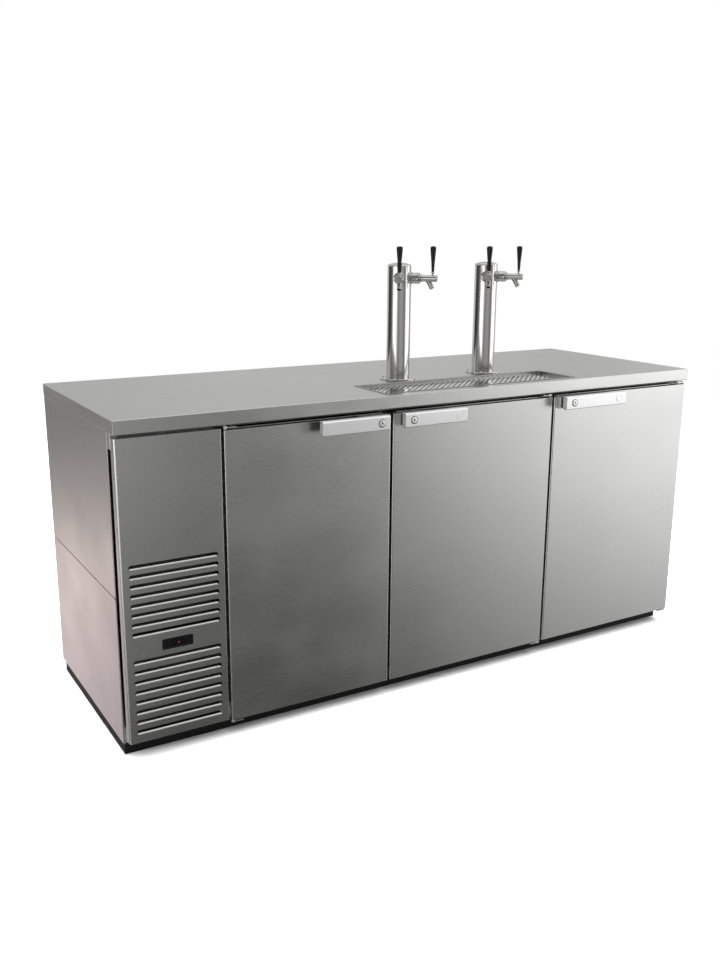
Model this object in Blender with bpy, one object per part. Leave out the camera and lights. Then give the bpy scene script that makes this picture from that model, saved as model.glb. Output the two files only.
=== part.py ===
"""Back-bar draft beer dispenser: a refrigerated keg cabinet with three doors, a machine
compartment on the left behind a louvred panel, a steel worktop with a recessed drip tray,
and two round towers that carry two taps each.

Cabinet coordinates, in metres: x from the worktop's left end, y from the doors' front
faces towards the back, z up from the floor. The origin empty moves them so that the world
origin is at the bottom centre of the whole object.
"""

import math

import bmesh
import bpy
from mathutils import Matrix, Vector

# ---------------------------------------------------------------- driving dimensions
WIDTH = 2.007
DEPTH = 0.700
WORKTOP_Z = 0.925
WORKTOP_T = 0.0374
GAP = 0.0003

PLINTH_H = 0.031
PLINTH_FRONT = 0.059
PLINTH_BACK = 0.670
BODY_LEFT = 0.0
BODY_RIGHT = 2.005
BODY_FRONT = 0.062
BODY_BACK = 0.698
WALL_T = 0.040
DECK_Z = 0.845
FLOOR_TOP = 0.080
SIDE_SEAM_Z = 0.446
SIDE_SKIN = 0.005
CORD_X, CORD_Z = 0.150, 0.180

DOOR_T = 0.052
DOOR_BOTTOM = 0.0513
DOOR_TOP = 0.8735
DOORS = (  # left edge, right edge, side of the hinge (-1 left, +1 right)
    (0.2910, 0.8015, -1),
    (0.8095, 1.4030, +1),
    (1.4110, 1.9993, +1),
)
HINGE_INSET_X = 0.006
HINGE_INSET_Y = 0.009
PIN_R = 0.0035
PIN_HOLE_R = 0.0042
GASKET_INSET = 0.006
GASKET_W = 0.017
GASKET_T = 0.0092

HANDLES = ((0.5542, 0.7682), (0.8185, 1.0335), (1.4165, 1.6690))
HANDLE_Z0 = 0.8395
HANDLE_Z1 = 0.8795
HANDLE_REACH = 0.050
HANDLE_COVER = 0.022
HANDLE_BLOCK = 0.078
LOCK_X = (0.7413, 0.8476, 1.4499)
LOCK_R = 0.0095
LOCK_OUT = 0.0015

MULLIONS = ((0.7785, 0.8325), (1.3800, 1.4340))
MULLION_D = 0.050
BULKHEAD = (0.270, 0.320)

GRILLE_X0, GRILLE_X1 = 0.0005, 0.2820
GRILLE_Z0, GRILLE_Z1 = 0.0565, 0.8792
GRILLE_DEPTH = 0.026
GRILLE_SKIN = 0.003
SLOT_X0, SLOT_X1 = 0.0215, 0.2640
SLOT_H = 0.013
SLOTS_UPPER = (0.5442, 0.3602)
SLOTS_LOWER = (0.2833, 0.0863)
SLOTS_EACH = 8

TRAY = (0.800, 0.036, 1.524, 0.211)
TRAY_DEPTH = 0.033
GRID_DROP = 0.008

TOWERS = (0.9965, 1.3308)
TOWER_Y = 0.271
COLUMN_R = 0.0365
COLUMN_BORE = 0.0340
FLANGE_R = 0.056
FLANGE_T = 0.0055
COLUMN_TOP = 1.2715
DOME_TOP = 1.2855
LINE_HOLE_R = 0.033

TAP_Z = 1.2375
TAP_ANGLES = (-32.8, 40.5)  # degrees from straight ahead, positive to the right
NUT_R = 0.0165
NUT_END = 0.0640
COLLAR_R = 0.0128
COLLAR_T = 0.0060
BODY_R = 0.0102
BODY_END = 0.1190
SPOUT_TILT = 29.0
SPOUT_ROOT = 0.0882
SPOUT_LENGTH = 0.0348
PIVOT_OUT = 0.1060
PIVOT_UP = 0.004
HANDLE_BASE = 1.2573
HANDLE_TOP = 1.3333

Y_FRONT = -HANDLE_REACH - LOCK_OUT
CENTRE = Vector((-WIDTH / 2, -(Y_FRONT + DEPTH) / 2, 0.0))

# ---------------------------------------------------------------- clean scene
for old in list(bpy.data.objects):
    bpy.data.objects.remove(old, do_unlink=True)


# ---------------------------------------------------------------- helpers
def material(name, colour, roughness, metallic):
    mat = bpy.data.materials.new(name)
    mat.use_nodes = True
    shader = mat.node_tree.nodes["Principled BSDF"]
    shader.inputs["Base Color"].default_value = (*colour, 1.0)
    shader.inputs["Roughness"].default_value = roughness
    shader.inputs["Metallic"].default_value = metallic
    mat.diffuse_color = (*colour, 1.0)
    return mat


STEEL = material("brushed_stainless", (0.50, 0.50, 0.50), 0.32, 1.0)
STEEL_DARK = material("brushed_stainless_shade", (0.36, 0.36, 0.36), 0.38, 1.0)
STEEL_BRIGHT = material("satin_stainless", (0.80, 0.80, 0.80), 0.25, 1.0)
POLISHED = material("polished_stainless", (0.72, 0.72, 0.72), 0.12, 1.0)
BLACK_PAINT = material("black_painted_steel", (0.012, 0.012, 0.012), 0.5, 0.0)
BLACK_PLASTIC = material("black_plastic", (0.010, 0.010, 0.011), 0.28, 0.0)
RUBBER = material("grey_gasket", (0.18, 0.18, 0.19), 0.7, 0.0)
LINER = material("galvanised_liner", (0.62, 0.63, 0.64), 0.35, 0.9)
FIN_METAL = material("fin_aluminium", (0.66, 0.66, 0.66), 0.4, 0.9)
FOAM = material("line_insulation", (0.03, 0.03, 0.03), 0.85, 0.0)


def empty(name, location, parent=None, turn=0.0):
    obj = bpy.data.objects.new(name, None)
    bpy.context.scene.collection.objects.link(obj)
    obj.location = location
    obj.rotation_euler = (0.0, 0.0, math.radians(turn))
    obj.parent = parent
    return obj


ORIGIN = empty("origin", CENTRE)


def add(name, bm, mat, parent=None, location=(0, 0, 0), smooth=None):
    """Make an object from a bmesh whose coordinates are those of its parent."""
    bmesh.ops.recalc_face_normals(bm, faces=bm.faces)
    bmesh.ops.translate(bm, verts=bm.verts, vec=-Vector(location))
    mesh = bpy.data.meshes.new(name)
    bm.to_mesh(mesh)
    bm.free()
    if smooth is not None:
        mesh.shade_smooth()
        mesh.set_sharp_from_angle(angle=math.radians(smooth))
    mesh.materials.append(mat)
    obj = bpy.data.objects.new(name, mesh)
    bpy.context.scene.collection.objects.link(obj)
    obj.parent = parent or ORIGIN
    obj.location = location
    return obj


def helper(obj):
    obj.hide_render = True
    obj.display_type = "WIRE"
    return obj


def boolean(obj, other, operation):
    mod = obj.modifiers.new(operation.lower(), "BOOLEAN")
    mod.operation = operation
    mod.solver = "EXACT"
    mod.object = helper(other)
    return mod


def cut(obj, other):
    return boolean(obj, other, "DIFFERENCE")


def fuse(obj, other):
    return boolean(obj, other, "UNION")


def bevel(obj, width, segments=1, angle=50):
    mod = obj.modifiers.new("edge", "BEVEL")
    mod.width = width
    mod.segments = segments
    mod.limit_method = "ANGLE"
    mod.angle_limit = math.radians(angle)
    return mod


def block(bm, lo, hi):
    """Add a closed box between two corners."""
    lo, hi = Vector(lo), Vector(hi)
    made = bmesh.ops.create_cube(bm, size=1.0)["verts"]
    bmesh.ops.scale(bm, vec=hi - lo, verts=made)
    bmesh.ops.translate(bm, vec=(lo + hi) / 2, verts=made)
    return made


def box(name, lo, hi, mat, parent=None, location=None, edge=0.0):
    bm = bmesh.new()
    block(bm, lo, hi)
    if edge:
        bmesh.ops.bevel(
            bm, geom=bm.edges[:], offset=edge, segments=1, affect="EDGES", profile=0.5
        )
    if location is None:
        location = (Vector(lo) + Vector(hi)) / 2
    return add(name, bm, mat, parent, location)


def boxes(name, spans, mat, parent=None):
    """Several separate boxes in one helper object."""
    bm = bmesh.new()
    for lo, hi in spans:
        block(bm, lo, hi)
    return add(name, bm, mat, parent)


def ring_stack(bm, rings):
    """Skin a list of closed rings, each a list of points, and cap both ends."""
    loops = [[bm.verts.new(p) for p in ring] for ring in rings]
    count = len(loops[0])
    for low, high in zip(loops, loops[1:]):
        for i in range(count):
            j = (i + 1) % count
            bm.faces.new((low[i], low[j], high[j], high[i]))
    bm.faces.new(list(reversed(loops[0])))
    bm.faces.new(loops[-1])
    return [v for loop in loops for v in loop]


def turned(bm, profile, sides=24, matrix=None):
    """Solid of revolution about +Z from (radius, height) pairs, bottom to top."""
    rings = []
    for radius, height in profile:
        rings.append(
            [
                Vector(
                    (
                        radius * math.cos(2 * math.pi * k / sides),
                        radius * math.sin(2 * math.pi * k / sides),
                        height,
                    )
                )
                for k in range(sides)
            ]
        )
    verts = ring_stack(bm, rings)
    if matrix is not None:
        bmesh.ops.transform(bm, matrix=matrix, verts=verts)
    return verts


def along(direction, at=(0, 0, 0)):
    """Matrix that takes +Z to a direction, placed at a point."""
    turn = Vector((0, 0, 1)).rotation_difference(Vector(direction)).to_matrix().to_4x4()
    return Matrix.Translation(Vector(at)) @ turn


def round_bar(name, radius, start, end, mat, parent=None, sides=24, location=None):
    start, end = Vector(start), Vector(end)
    bm = bmesh.new()
    turned(
        bm,
        ((radius, 0.0), (radius, (end - start).length)),
        sides,
        along(end - start, start),
    )
    return add(name, bm, mat, parent, location or start, smooth=30)


# ---------------------------------------------------------------- cabinet shell
box(
    "base_plinth",
    (0.0020, PLINTH_FRONT, 0.0),
    (BODY_RIGHT, PLINTH_BACK, PLINTH_H),
    BLACK_PAINT,
)

floor = box(
    "insulated_floor",
    (SIDE_SKIN + GAP, BODY_FRONT, PLINTH_H + GAP),
    (BODY_RIGHT - WALL_T - GAP, BODY_BACK - WALL_T - GAP, FLOOR_TOP),
    LINER,
)

back = box(
    "back_wall",
    (SIDE_SKIN + GAP, BODY_BACK - WALL_T, PLINTH_H + GAP),
    (BODY_RIGHT - WALL_T - GAP, BODY_BACK, WORKTOP_Z - WORKTOP_T - GAP),
    STEEL,
)
# cord outlet from the machine compartment: a raised bush and its bore
fuse(
    back,
    round_bar(
        "cord_bush",
        0.016,
        (CORD_X, BODY_BACK - 0.004, CORD_Z),
        (CORD_X, BODY_BACK + 0.0018, CORD_Z),
        STEEL,
        sides=20,
    ),
)
cut(
    back,
    round_bar(
        "cord_bore",
        0.006,
        (CORD_X, BODY_BACK - WALL_T - 0.01, CORD_Z),
        (CORD_X, BODY_BACK + 0.01, CORD_Z),
        STEEL,
        sides=16,
    ),
)

box(
    "left_side_panel_upper",
    (BODY_LEFT, 0.057, SIDE_SEAM_Z + 0.001),
    (SIDE_SKIN, BODY_BACK, WORKTOP_Z - WORKTOP_T - GAP),
    STEEL,
    edge=0.0008,
)
box(
    "left_side_panel_lower",
    (BODY_LEFT, 0.057, PLINTH_H + GAP),
    (SIDE_SKIN, BODY_BACK, SIDE_SEAM_Z - 0.001),
    STEEL,
    edge=0.0008,
)
box(
    "right_side_wall",
    (BODY_RIGHT - WALL_T, BODY_FRONT, PLINTH_H + GAP),
    (BODY_RIGHT, BODY_BACK, WORKTOP_Z - WORKTOP_T - GAP),
    STEEL,
    edge=0.0010,
)
box(
    "bay_bulkhead",
    (BULKHEAD[0], BODY_FRONT, FLOOR_TOP + GAP),
    (BULKHEAD[1], BODY_BACK - WALL_T - GAP, DECK_Z - GAP),
    LINER,
)

deck = box(
    "top_deck",
    (SIDE_SKIN + GAP, BODY_FRONT, DECK_Z),
    (BODY_RIGHT - WALL_T - GAP, BODY_BACK - WALL_T - GAP, WORKTOP_Z - WORKTOP_T - GAP),
    LINER,
)
for index, x in enumerate(TOWERS):
    cut(
        deck,
        round_bar(
            f"deck_line_hole_{index}",
            LINE_HOLE_R,
            (x, TOWER_Y, DECK_Z - 0.01),
            (x, TOWER_Y, WORKTOP_Z),
            LINER,
            sides=20,
        ),
    )
TRAY_CX = (TRAY[0] + TRAY[2]) / 2
TRAY_CY = (TRAY[1] + TRAY[3]) / 2
cut(
    deck,
    round_bar(
        "deck_drain_hole",
        0.0150,
        (TRAY_CX, TRAY_CY, DECK_Z - 0.01),
        (TRAY_CX, TRAY_CY, WORKTOP_Z),
        LINER,
        sides=16,
    ),
)

for name, (x0, x1) in zip(("mullion_left", "mullion_right"), MULLIONS):
    box(
        name,
        (x0, BODY_FRONT, FLOOR_TOP + GAP),
        (x1, BODY_FRONT + MULLION_D, DECK_Z - GAP),
        LINER,
    )

# ---------------------------------------------------------------- hinge rails
HINGE_X = [
    (left + HINGE_INSET_X) if side < 0 else (right - HINGE_INSET_X)
    for left, right, side in DOORS
]


def hinge_rail(name, strip, tab_z, pin_z):
    bm = bmesh.new()
    block(bm, *strip)
    rail = add(name, bm, STEEL_BRIGHT)
    for index, x in enumerate(HINGE_X):
        side = DOORS[index][2]
        x0, x1 = sorted((x + side * 0.0055, x - side * 0.030))
        tab = box(
            f"{name}_tab_{index}",
            (x0, HINGE_INSET_Y - 0.006, tab_z[0]),
            (x1, BODY_FRONT - GAP - 0.004, tab_z[1]),
            STEEL_BRIGHT,
        )
        fuse(rail, tab)
        fuse(
            rail,
            round_bar(
                f"{name}_pin_{index}",
                PIN_R,
                (x, HINGE_INSET_Y, pin_z[0]),
                (x, HINGE_INSET_Y, pin_z[1]),
                STEEL_BRIGHT,
                sides=16,
            ),
        )
    return rail


hinge_rail(
    "hinge_rail_top",
    ((0.2905, 0.0380, 0.8765), (1.9995, BODY_FRONT - GAP, 0.8840)),
    (0.8770, 0.8830),
    (0.8600, 0.8800),
)
hinge_rail(
    "hinge_rail_bottom",
    ((0.2905, 0.0520, 0.0400), (1.9995, BODY_FRONT - GAP, 0.0475)),
    (0.0425, 0.0480),
    (0.0450, 0.0650),
)

# ---------------------------------------------------------------- machine compartment
bm = bmesh.new()
block(bm, (GRILLE_X0, 0.0, GRILLE_Z0), (GRILLE_X1, BODY_FRONT - GAP, GRILLE_Z1))
grille = add("machine_grille", bm, STEEL_DARK)
hollow = boxes(
    "grille_hollow",
    [
        (
            (GRILLE_X0 + GRILLE_SKIN, GRILLE_SKIN, GRILLE_Z0 + GRILLE_SKIN),
            (GRILLE_X1 - 0.010, 0.1, GRILLE_Z1 - 0.010),
        )
    ],
    STEEL_DARK,
)
cut(grille, hollow)
cut(
    grille,
    boxes(
        "grille_return_cut",
        [((-0.05, GRILLE_DEPTH, -0.05), (GRILLE_X1 - 0.010, 0.1, GRILLE_Z1 - 0.010))],
        STEEL_DARK,
    ),
)
cut(
    grille,
    boxes(
        "grille_corner_cut",
        [((-0.06, GRILLE_DEPTH, GRILLE_Z1 - 0.020), (SIDE_SKIN + 0.001, 0.12, 1.0))],
        STEEL_DARK,
    ),
)
cut(
    grille,
    boxes(
        "grille_bottom_cut",
        [
            (
                (GRILLE_X1 - 0.0101, GRILLE_DEPTH, GRILLE_Z0 - 0.01),
                (GRILLE_X1 + 0.01, 0.1, 0.0900),
            )
        ],
        STEEL_DARK,
    ),
)
slots = []
for top, bottom in (SLOTS_UPPER, SLOTS_LOWER):
    for k in range(SLOTS_EACH):
        z = top + (bottom - top) * k / (SLOTS_EACH - 1)
        slots.append(
            ((SLOT_X0, -0.01, z - SLOT_H / 2), (SLOT_X1, 0.02, z + SLOT_H / 2))
        )
cut(grille, boxes("grille_slots", slots, STEEL_DARK))

box(
    "temperature_display",
    (0.1015, -0.0015, 0.3060),
    (0.1850, -GAP, 0.3335),
    BLACK_PLASTIC,
    edge=0.0006,
)

# finned condenser behind the louvres
bm = bmesh.new()
block(bm, (0.020, 0.072, 0.095), (0.255, 0.107, 0.560))
condenser = add("condenser_coil", bm, FIN_METAL)
grooves = []
for k in range(11):
    z = 0.125 + k * 0.0400
    grooves.append(((0.030, 0.060, z), (0.245, 0.084, z + 0.020)))
cut(condenser, boxes("condenser_grooves", grooves, FIN_METAL))


def fan(name, axis_empty, hub_r, tip_r, blades, thick, mat):
    """Fan turning about the empty's local Z: a hub with pitched blades."""
    bm = bmesh.new()
    turned(bm, ((hub_r, -0.009), (hub_r, 0.009)), 20)
    wheel = add(name, bm, mat, axis_empty, smooth=30)
    for k in range(blades):
        bm = bmesh.new()
        made = block(
            bm,
            (hub_r * 0.6, -hub_r * 1.1, -thick / 2),
            (tip_r, hub_r * 1.1, thick / 2),
        )
        spin = Matrix.Rotation(2 * math.pi * k / blades, 4, "Z")
        pitch = Matrix.Rotation(math.radians(24), 4, "X")
        bmesh.ops.transform(bm, matrix=spin @ pitch, verts=made)
        fuse(wheel, add(f"{name}_blade_{k}", bm, mat, axis_empty))
    return wheel


FAN_C = (0.1375, 0.146, 0.330)
cond_axis = empty("condenser_fan_axis", FAN_C, ORIGIN)
cond_axis.rotation_euler = (math.radians(90), 0, 0)
fan("condenser_fan", cond_axis, 0.020, 0.098, 4, 0.0025, BLACK_PLASTIC)

bm = bmesh.new()
turned(
    bm,
    ((0.006, 0.0), (0.006, 0.010), (0.036, 0.010), (0.036, 0.070), (0.030, 0.076)),
    24,
    along((0, 1, 0), (FAN_C[0], FAN_C[1] + 0.0095, FAN_C[2])),
)
motor = add("condenser_fan_motor", bm, BLACK_PAINT, smooth=30)
fuse(
    motor,
    box(
        "fan_motor_stand",
        (0.1175, 0.175, FLOOR_TOP + GAP),
        (0.1575, 0.205, FAN_C[2] - 0.010),
        BLACK_PAINT,
    ),
)
fuse(
    motor,
    box(
        "fan_motor_foot",
        (0.0975, 0.165, FLOOR_TOP + GAP),
        (0.1775, 0.225, FLOOR_TOP + GAP + 0.004),
        BLACK_PAINT,
    ),
)

bm = bmesh.new()
turned(
    bm,
    (
        (0.070, 0.100),
        (0.080, 0.112),
        (0.080, 0.180),
        (0.083, 0.184),
        (0.083, 0.190),
        (0.078, 0.196),
        (0.074, 0.240),
        (0.056, 0.268),
        (0.024, 0.280),
    ),
    24,
    Matrix.Translation((0.1375, 0.440, 0.0)),
)
compressor = add("compressor", bm, BLACK_PAINT, smooth=35)
fuse(
    compressor,
    box(
        "compressor_feet",
        (0.0400, 0.355, FLOOR_TOP + GAP),
        (0.2350, 0.525, FLOOR_TOP + 0.024),
        BLACK_PAINT,
    ),
)

# ---------------------------------------------------------------- evaporator in the keg bay
EVAP_C = (0.364, 0.470, 0.640)
bm = bmesh.new()
block(bm, (0.3206, 0.3100, 0.460), (0.3480, 0.6300, 0.820))
coil = add("evaporator_coil", bm, FIN_METAL)
fuse(
    coil,
    round_bar(
        "evaporator_motor",
        0.022,
        (0.346, EVAP_C[1], EVAP_C[2]),
        (0.3520, EVAP_C[1], EVAP_C[2]),
        FIN_METAL,
        sides=20,
    ),
)
evap_axis = empty("evaporator_fan_axis", EVAP_C, ORIGIN)
evap_axis.rotation_euler = (0, math.radians(90), 0)
fan("evaporator_fan", evap_axis, 0.016, 0.082, 4, 0.0020, BLACK_PLASTIC)

bm = bmesh.new()
block(bm, (0.3203, 0.3000, 0.450), (0.3830, 0.6400, 0.830))
cover = add("evaporator_cover", bm, LINER)
cut(
    cover,
    boxes(
        "evaporator_cover_hollow",
        [((0.3100, 0.3030, 0.453), (0.3805, 0.6370, 0.827))],
        LINER,
    ),
)
cut(
    cover,
    round_bar(
        "evaporator_cover_mouth",
        0.090,
        (0.370, EVAP_C[1], EVAP_C[2]),
        (0.400, EVAP_C[1], EVAP_C[2]),
        LINER,
        sides=32,
    ),
)

# ---------------------------------------------------------------- worktop, drip tray, grid
top = box(
    "worktop",
    (0.0, 0.0, WORKTOP_Z - WORKTOP_T),
    (WIDTH, DEPTH, WORKTOP_Z),
    STEEL,
)
bevel(top, 0.0015, 1)
cut(
    top,
    box(
        "worktop_tray_cut",
        (TRAY[0] + 0.006, TRAY[1] + 0.006, WORKTOP_Z - 0.1),
        (TRAY[2] - 0.006, TRAY[3] - 0.006, WORKTOP_Z + 0.1),
        STEEL,
    ),
)
for index, x in enumerate(TOWERS):
    cut(
        top,
        round_bar(
            f"worktop_line_hole_{index}",
            LINE_HOLE_R,
            (x, TOWER_Y, WORKTOP_Z - 0.1),
            (x, TOWER_Y, WORKTOP_Z + 0.1),
            STEEL,
            sides=20,
        ),
    )

RIM_T = 0.0010
PAN_WALL = 0.0015
bm = bmesh.new()
block(
    bm,
    (TRAY[0] + 0.0068, TRAY[1] + 0.0068, WORKTOP_Z - TRAY_DEPTH),
    (TRAY[2] - 0.0068, TRAY[3] - 0.0068, WORKTOP_Z + GAP + RIM_T),
)
pan = add("drip_pan", bm, STEEL)
fuse(
    pan,
    box(
        "drip_pan_rim",
        (TRAY[0], TRAY[1], WORKTOP_Z + GAP),
        (TRAY[2], TRAY[3], WORKTOP_Z + GAP + RIM_T),
        STEEL,
    ),
)
fuse(
    pan,
    round_bar(
        "drip_pan_drain",
        0.0120,
        (TRAY_CX, TRAY_CY, WORKTOP_Z - TRAY_DEPTH + 0.001),
        (TRAY_CX, TRAY_CY, DECK_Z + 0.002),
        STEEL,
        sides=16,
    ),
)
WELL = (
    TRAY[0] + 0.0068 + PAN_WALL,
    TRAY[1] + 0.0068 + PAN_WALL,
    TRAY[2] - 0.0068 - PAN_WALL,
    TRAY[3] - 0.0068 - PAN_WALL,
)
WELL_FLOOR = WORKTOP_Z - TRAY_DEPTH + PAN_WALL
cut(
    pan,
    box(
        "drip_pan_well",
        (WELL[0], WELL[1], WELL_FLOOR),
        (WELL[2], WELL[3], WORKTOP_Z + 0.05),
        STEEL,
    ),
)
cut(
    pan,
    round_bar(
        "drip_pan_drain_bore",
        0.0095,
        (TRAY_CX, TRAY_CY, DECK_Z - 0.02),
        (TRAY_CX, TRAY_CY, WORKTOP_Z),
        STEEL,
        sides=16,
    ),
)

GRID_TOP = WORKTOP_Z - GRID_DROP
grid = box(
    "drip_grid",
    (WELL[0] + 0.001, WELL[1] + 0.001, GRID_TOP - 0.0020),
    (WELL[2] - 0.001, WELL[3] - 0.001, GRID_TOP),
    STEEL_BRIGHT,
)
for index, y in enumerate((WELL[1] + 0.012, WELL[3] - 0.014)):
    fuse(
        grid,
        box(
            f"drip_grid_leg_{index}",
            (WELL[0] + 0.010, y, WELL_FLOOR + GAP),
            (WELL[2] - 0.010, y + 0.002, GRID_TOP - 0.001),
            STEEL_BRIGHT,
        ),
    )
holes = []
GRID_COLUMNS, GRID_ROWS = 16, 3
for i in range(GRID_COLUMNS):
    for j in range(GRID_ROWS):
        x = WELL[0] + 0.030 + i * (WELL[2] - WELL[0] - 0.060 - 0.020) / (
            GRID_COLUMNS - 1
        )
        y = WELL[1] + 0.026 + j * (WELL[3] - WELL[1] - 0.052 - 0.024) / (GRID_ROWS - 1)
        holes.append(((x, y, GRID_TOP - 0.01), (x + 0.020, y + 0.024, GRID_TOP + 0.01)))
cut(grid, boxes("drip_grid_holes", holes, STEEL_BRIGHT))

# ---------------------------------------------------------------- towers and taps
tap_number = 0
for side, tower_x in zip(("left", "right"), TOWERS):
    tower = empty(f"tower_{side}_axis", (tower_x, TOWER_Y, 0.0), ORIGIN)

    bm = bmesh.new()
    turned(
        bm,
        (
            (FLANGE_R, WORKTOP_Z + GAP),
            (FLANGE_R, WORKTOP_Z + GAP + FLANGE_T - 0.001),
            (FLANGE_R - 0.001, WORKTOP_Z + GAP + FLANGE_T),
        ),
        32,
    )
    flange = add(f"tower_{side}_flange", bm, POLISHED, tower, smooth=30)
    cut(
        flange,
        round_bar(
            f"tower_{side}_flange_bore",
            0.030,
            (0, 0, WORKTOP_Z - 0.01),
            (0, 0, WORKTOP_Z + 0.03),
            POLISHED,
            tower,
        ),
    )

    column_z0 = WORKTOP_Z + GAP + FLANGE_T + GAP
    column = round_bar(
        f"tower_{side}_column",
        COLUMN_R,
        (0, 0, column_z0),
        (0, 0, COLUMN_TOP),
        POLISHED,
        tower,
        sides=32,
    )
    cut(
        column,
        round_bar(
            f"tower_{side}_column_bore",
            COLUMN_BORE,
            (0, 0, WORKTOP_Z - 0.02),
            (0, 0, COLUMN_TOP + 0.02),
            POLISHED,
            tower,
            sides=32,
        ),
    )

    bm = bmesh.new()
    turned(
        bm,
        (
            (COLUMN_BORE - 0.0005, COLUMN_TOP - 0.010),
            (COLUMN_BORE - 0.0005, COLUMN_TOP + GAP),
            (COLUMN_R, COLUMN_TOP + GAP),
            (COLUMN_R, COLUMN_TOP + 0.0012),
            (COLUMN_R - 0.0012, COLUMN_TOP + 0.0035),
            (COLUMN_R - 0.0040, COLUMN_TOP + 0.0062),
            (COLUMN_R - 0.0100, COLUMN_TOP + 0.0095),
            (COLUMN_R - 0.0190, COLUMN_TOP + 0.0124),
            (0.008, DOME_TOP),
        ),
        32,
    )
    add(f"tower_{side}_cap", bm, POLISHED, tower, smooth=30)

    round_bar(
        f"tower_{side}_beer_lines",
        0.0190,
        (0, 0, DECK_Z + 0.001),
        (0, 0, TAP_Z - 0.030),
        FOAM,
        tower,
        sides=16,
    )

    for turn in TAP_ANGLES:
        tap_number += 1
        tag = f"tap_{tap_number}"
        axis = empty(f"{tag}_axis", (0, 0, TAP_Z), tower, turn)
        out = Vector((0, -1, 0))

        cut(
            column,
            round_bar(
                f"{tag}_column_hole",
                0.0118,
                out * 0.020,
                out * 0.060,
                POLISHED,
                axis,
                sides=20,
            ),
        )

        # saddle against the column, coupling nut and its outer ring
        bm = bmesh.new()
        turned(
            bm,
            (
                (0.0185, 0.0280),
                (0.0185, 0.0400),
                (NUT_R - 0.0010, 0.0440),
                (NUT_R, 0.0450),
                (NUT_R, NUT_END - 0.0010),
                (NUT_R - 0.0010, NUT_END),
                (COLLAR_R - 0.0012, NUT_END),
                (COLLAR_R, NUT_END + 0.0015),
                (COLLAR_R, NUT_END + COLLAR_T - 0.0015),
                (COLLAR_R - 0.0012, NUT_END + COLLAR_T),
            ),
            24,
            along(out),
        )
        shank = add(f"{tag}_shank", bm, POLISHED, axis, smooth=35)
        cut(
            shank,
            round_bar(
                f"{tag}_saddle_cut",
                COLUMN_R + GAP,
                (0, 0, -0.05),
                (0, 0, 0.05),
                POLISHED,
                axis,
                sides=32,
            ),
        )
        fuse(
            shank,
            round_bar(
                f"{tag}_shank_tube",
                0.0108,
                out * 0.0235,
                out * 0.0500,
                POLISHED,
                axis,
                sides=20,
            ),
        )

        # tap body with its spout
        spout_dir = Vector(
            (
                0,
                -math.sin(math.radians(SPOUT_TILT)),
                -math.cos(math.radians(SPOUT_TILT)),
            )
        )
        spout_root = out * SPOUT_ROOT
        bm = bmesh.new()
        turned(
            bm,
            (
                (BODY_R, NUT_END + COLLAR_T + GAP),
                (BODY_R, BODY_END - 0.0014),
                (BODY_R - 0.0014, BODY_END),
            ),
            24,
            along(out),
        )
        body = add(f"{tag}_body", bm, POLISHED, axis, smooth=35)
        bm = bmesh.new()
        turned(
            bm,
            ((0.0078, 0.0), (0.0073, 0.0150), (0.0070, SPOUT_LENGTH)),
            20,
            along(spout_dir, spout_root),
        )
        fuse(body, add(f"{tag}_spout", bm, POLISHED, axis))
        bm = bmesh.new()
        turned(
            bm,
            ((0.0058, 0.0170), (0.0060, SPOUT_LENGTH + 0.0070)),
            20,
            along(spout_dir, spout_root),
        )
        cut(body, add(f"{tag}_spout_bore", bm, POLISHED, axis))
        cut(
            body,
            boxes(
                f"{tag}_lever_slot",
                [
                    (
                        (-0.0043, -(PIVOT_OUT + 0.0098), -0.0010),
                        (0.0043, -(PIVOT_OUT - 0.0048), 0.0200),
                    )
                ],
                POLISHED,
                axis,
            ),
        )

        pivot = empty(f"{tag}_pivot", (0, -PIVOT_OUT, PIVOT_UP), axis)
        rise = HANDLE_BASE - TAP_Z - PIVOT_UP
        bm = bmesh.new()
        turned(
            bm,
            (
                (0.0018, -0.0038),
                (0.0033, -0.0024),
                (0.0038, 0.0),
                (0.0033, 0.0022),
                (0.0032, rise - 0.0045),
                (0.0050, rise - 0.0035),
                (0.0050, rise - 0.0010),
                (0.0030, rise - GAP),
            ),
            16,
        )
        add(f"{tag}_lever", bm, POLISHED, pivot, smooth=35)

        # tapered grip: wider seen from the front than from the side
        bm = bmesh.new()
        total = HANDLE_TOP - HANDLE_BASE
        grip = (
            (0.000, 0.0050, 0.0036),
            (0.020, 0.0055, 0.0040),
            (0.345, 0.0070, 0.0053),
            (0.385, 0.0058, 0.0055),
            (0.640, 0.0077, 0.0072),
            (0.880, 0.0093, 0.0088),
            (0.940, 0.0094, 0.0089),
            (0.980, 0.0080, 0.0076),
            (1.000, 0.0052, 0.0049),
        )
        rings = []
        for part, half_w, half_d in grip:
            rings.append(
                [
                    Vector(
                        (
                            half_w * math.cos(2 * math.pi * k / 16),
                            half_d * math.sin(2 * math.pi * k / 16),
                            rise + part * total,
                        )
                    )
                    for k in range(16)
                ]
            )
        ring_stack(bm, rings)
        add(f"{tag}_handle", bm, BLACK_PLASTIC, pivot, smooth=40)

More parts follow.
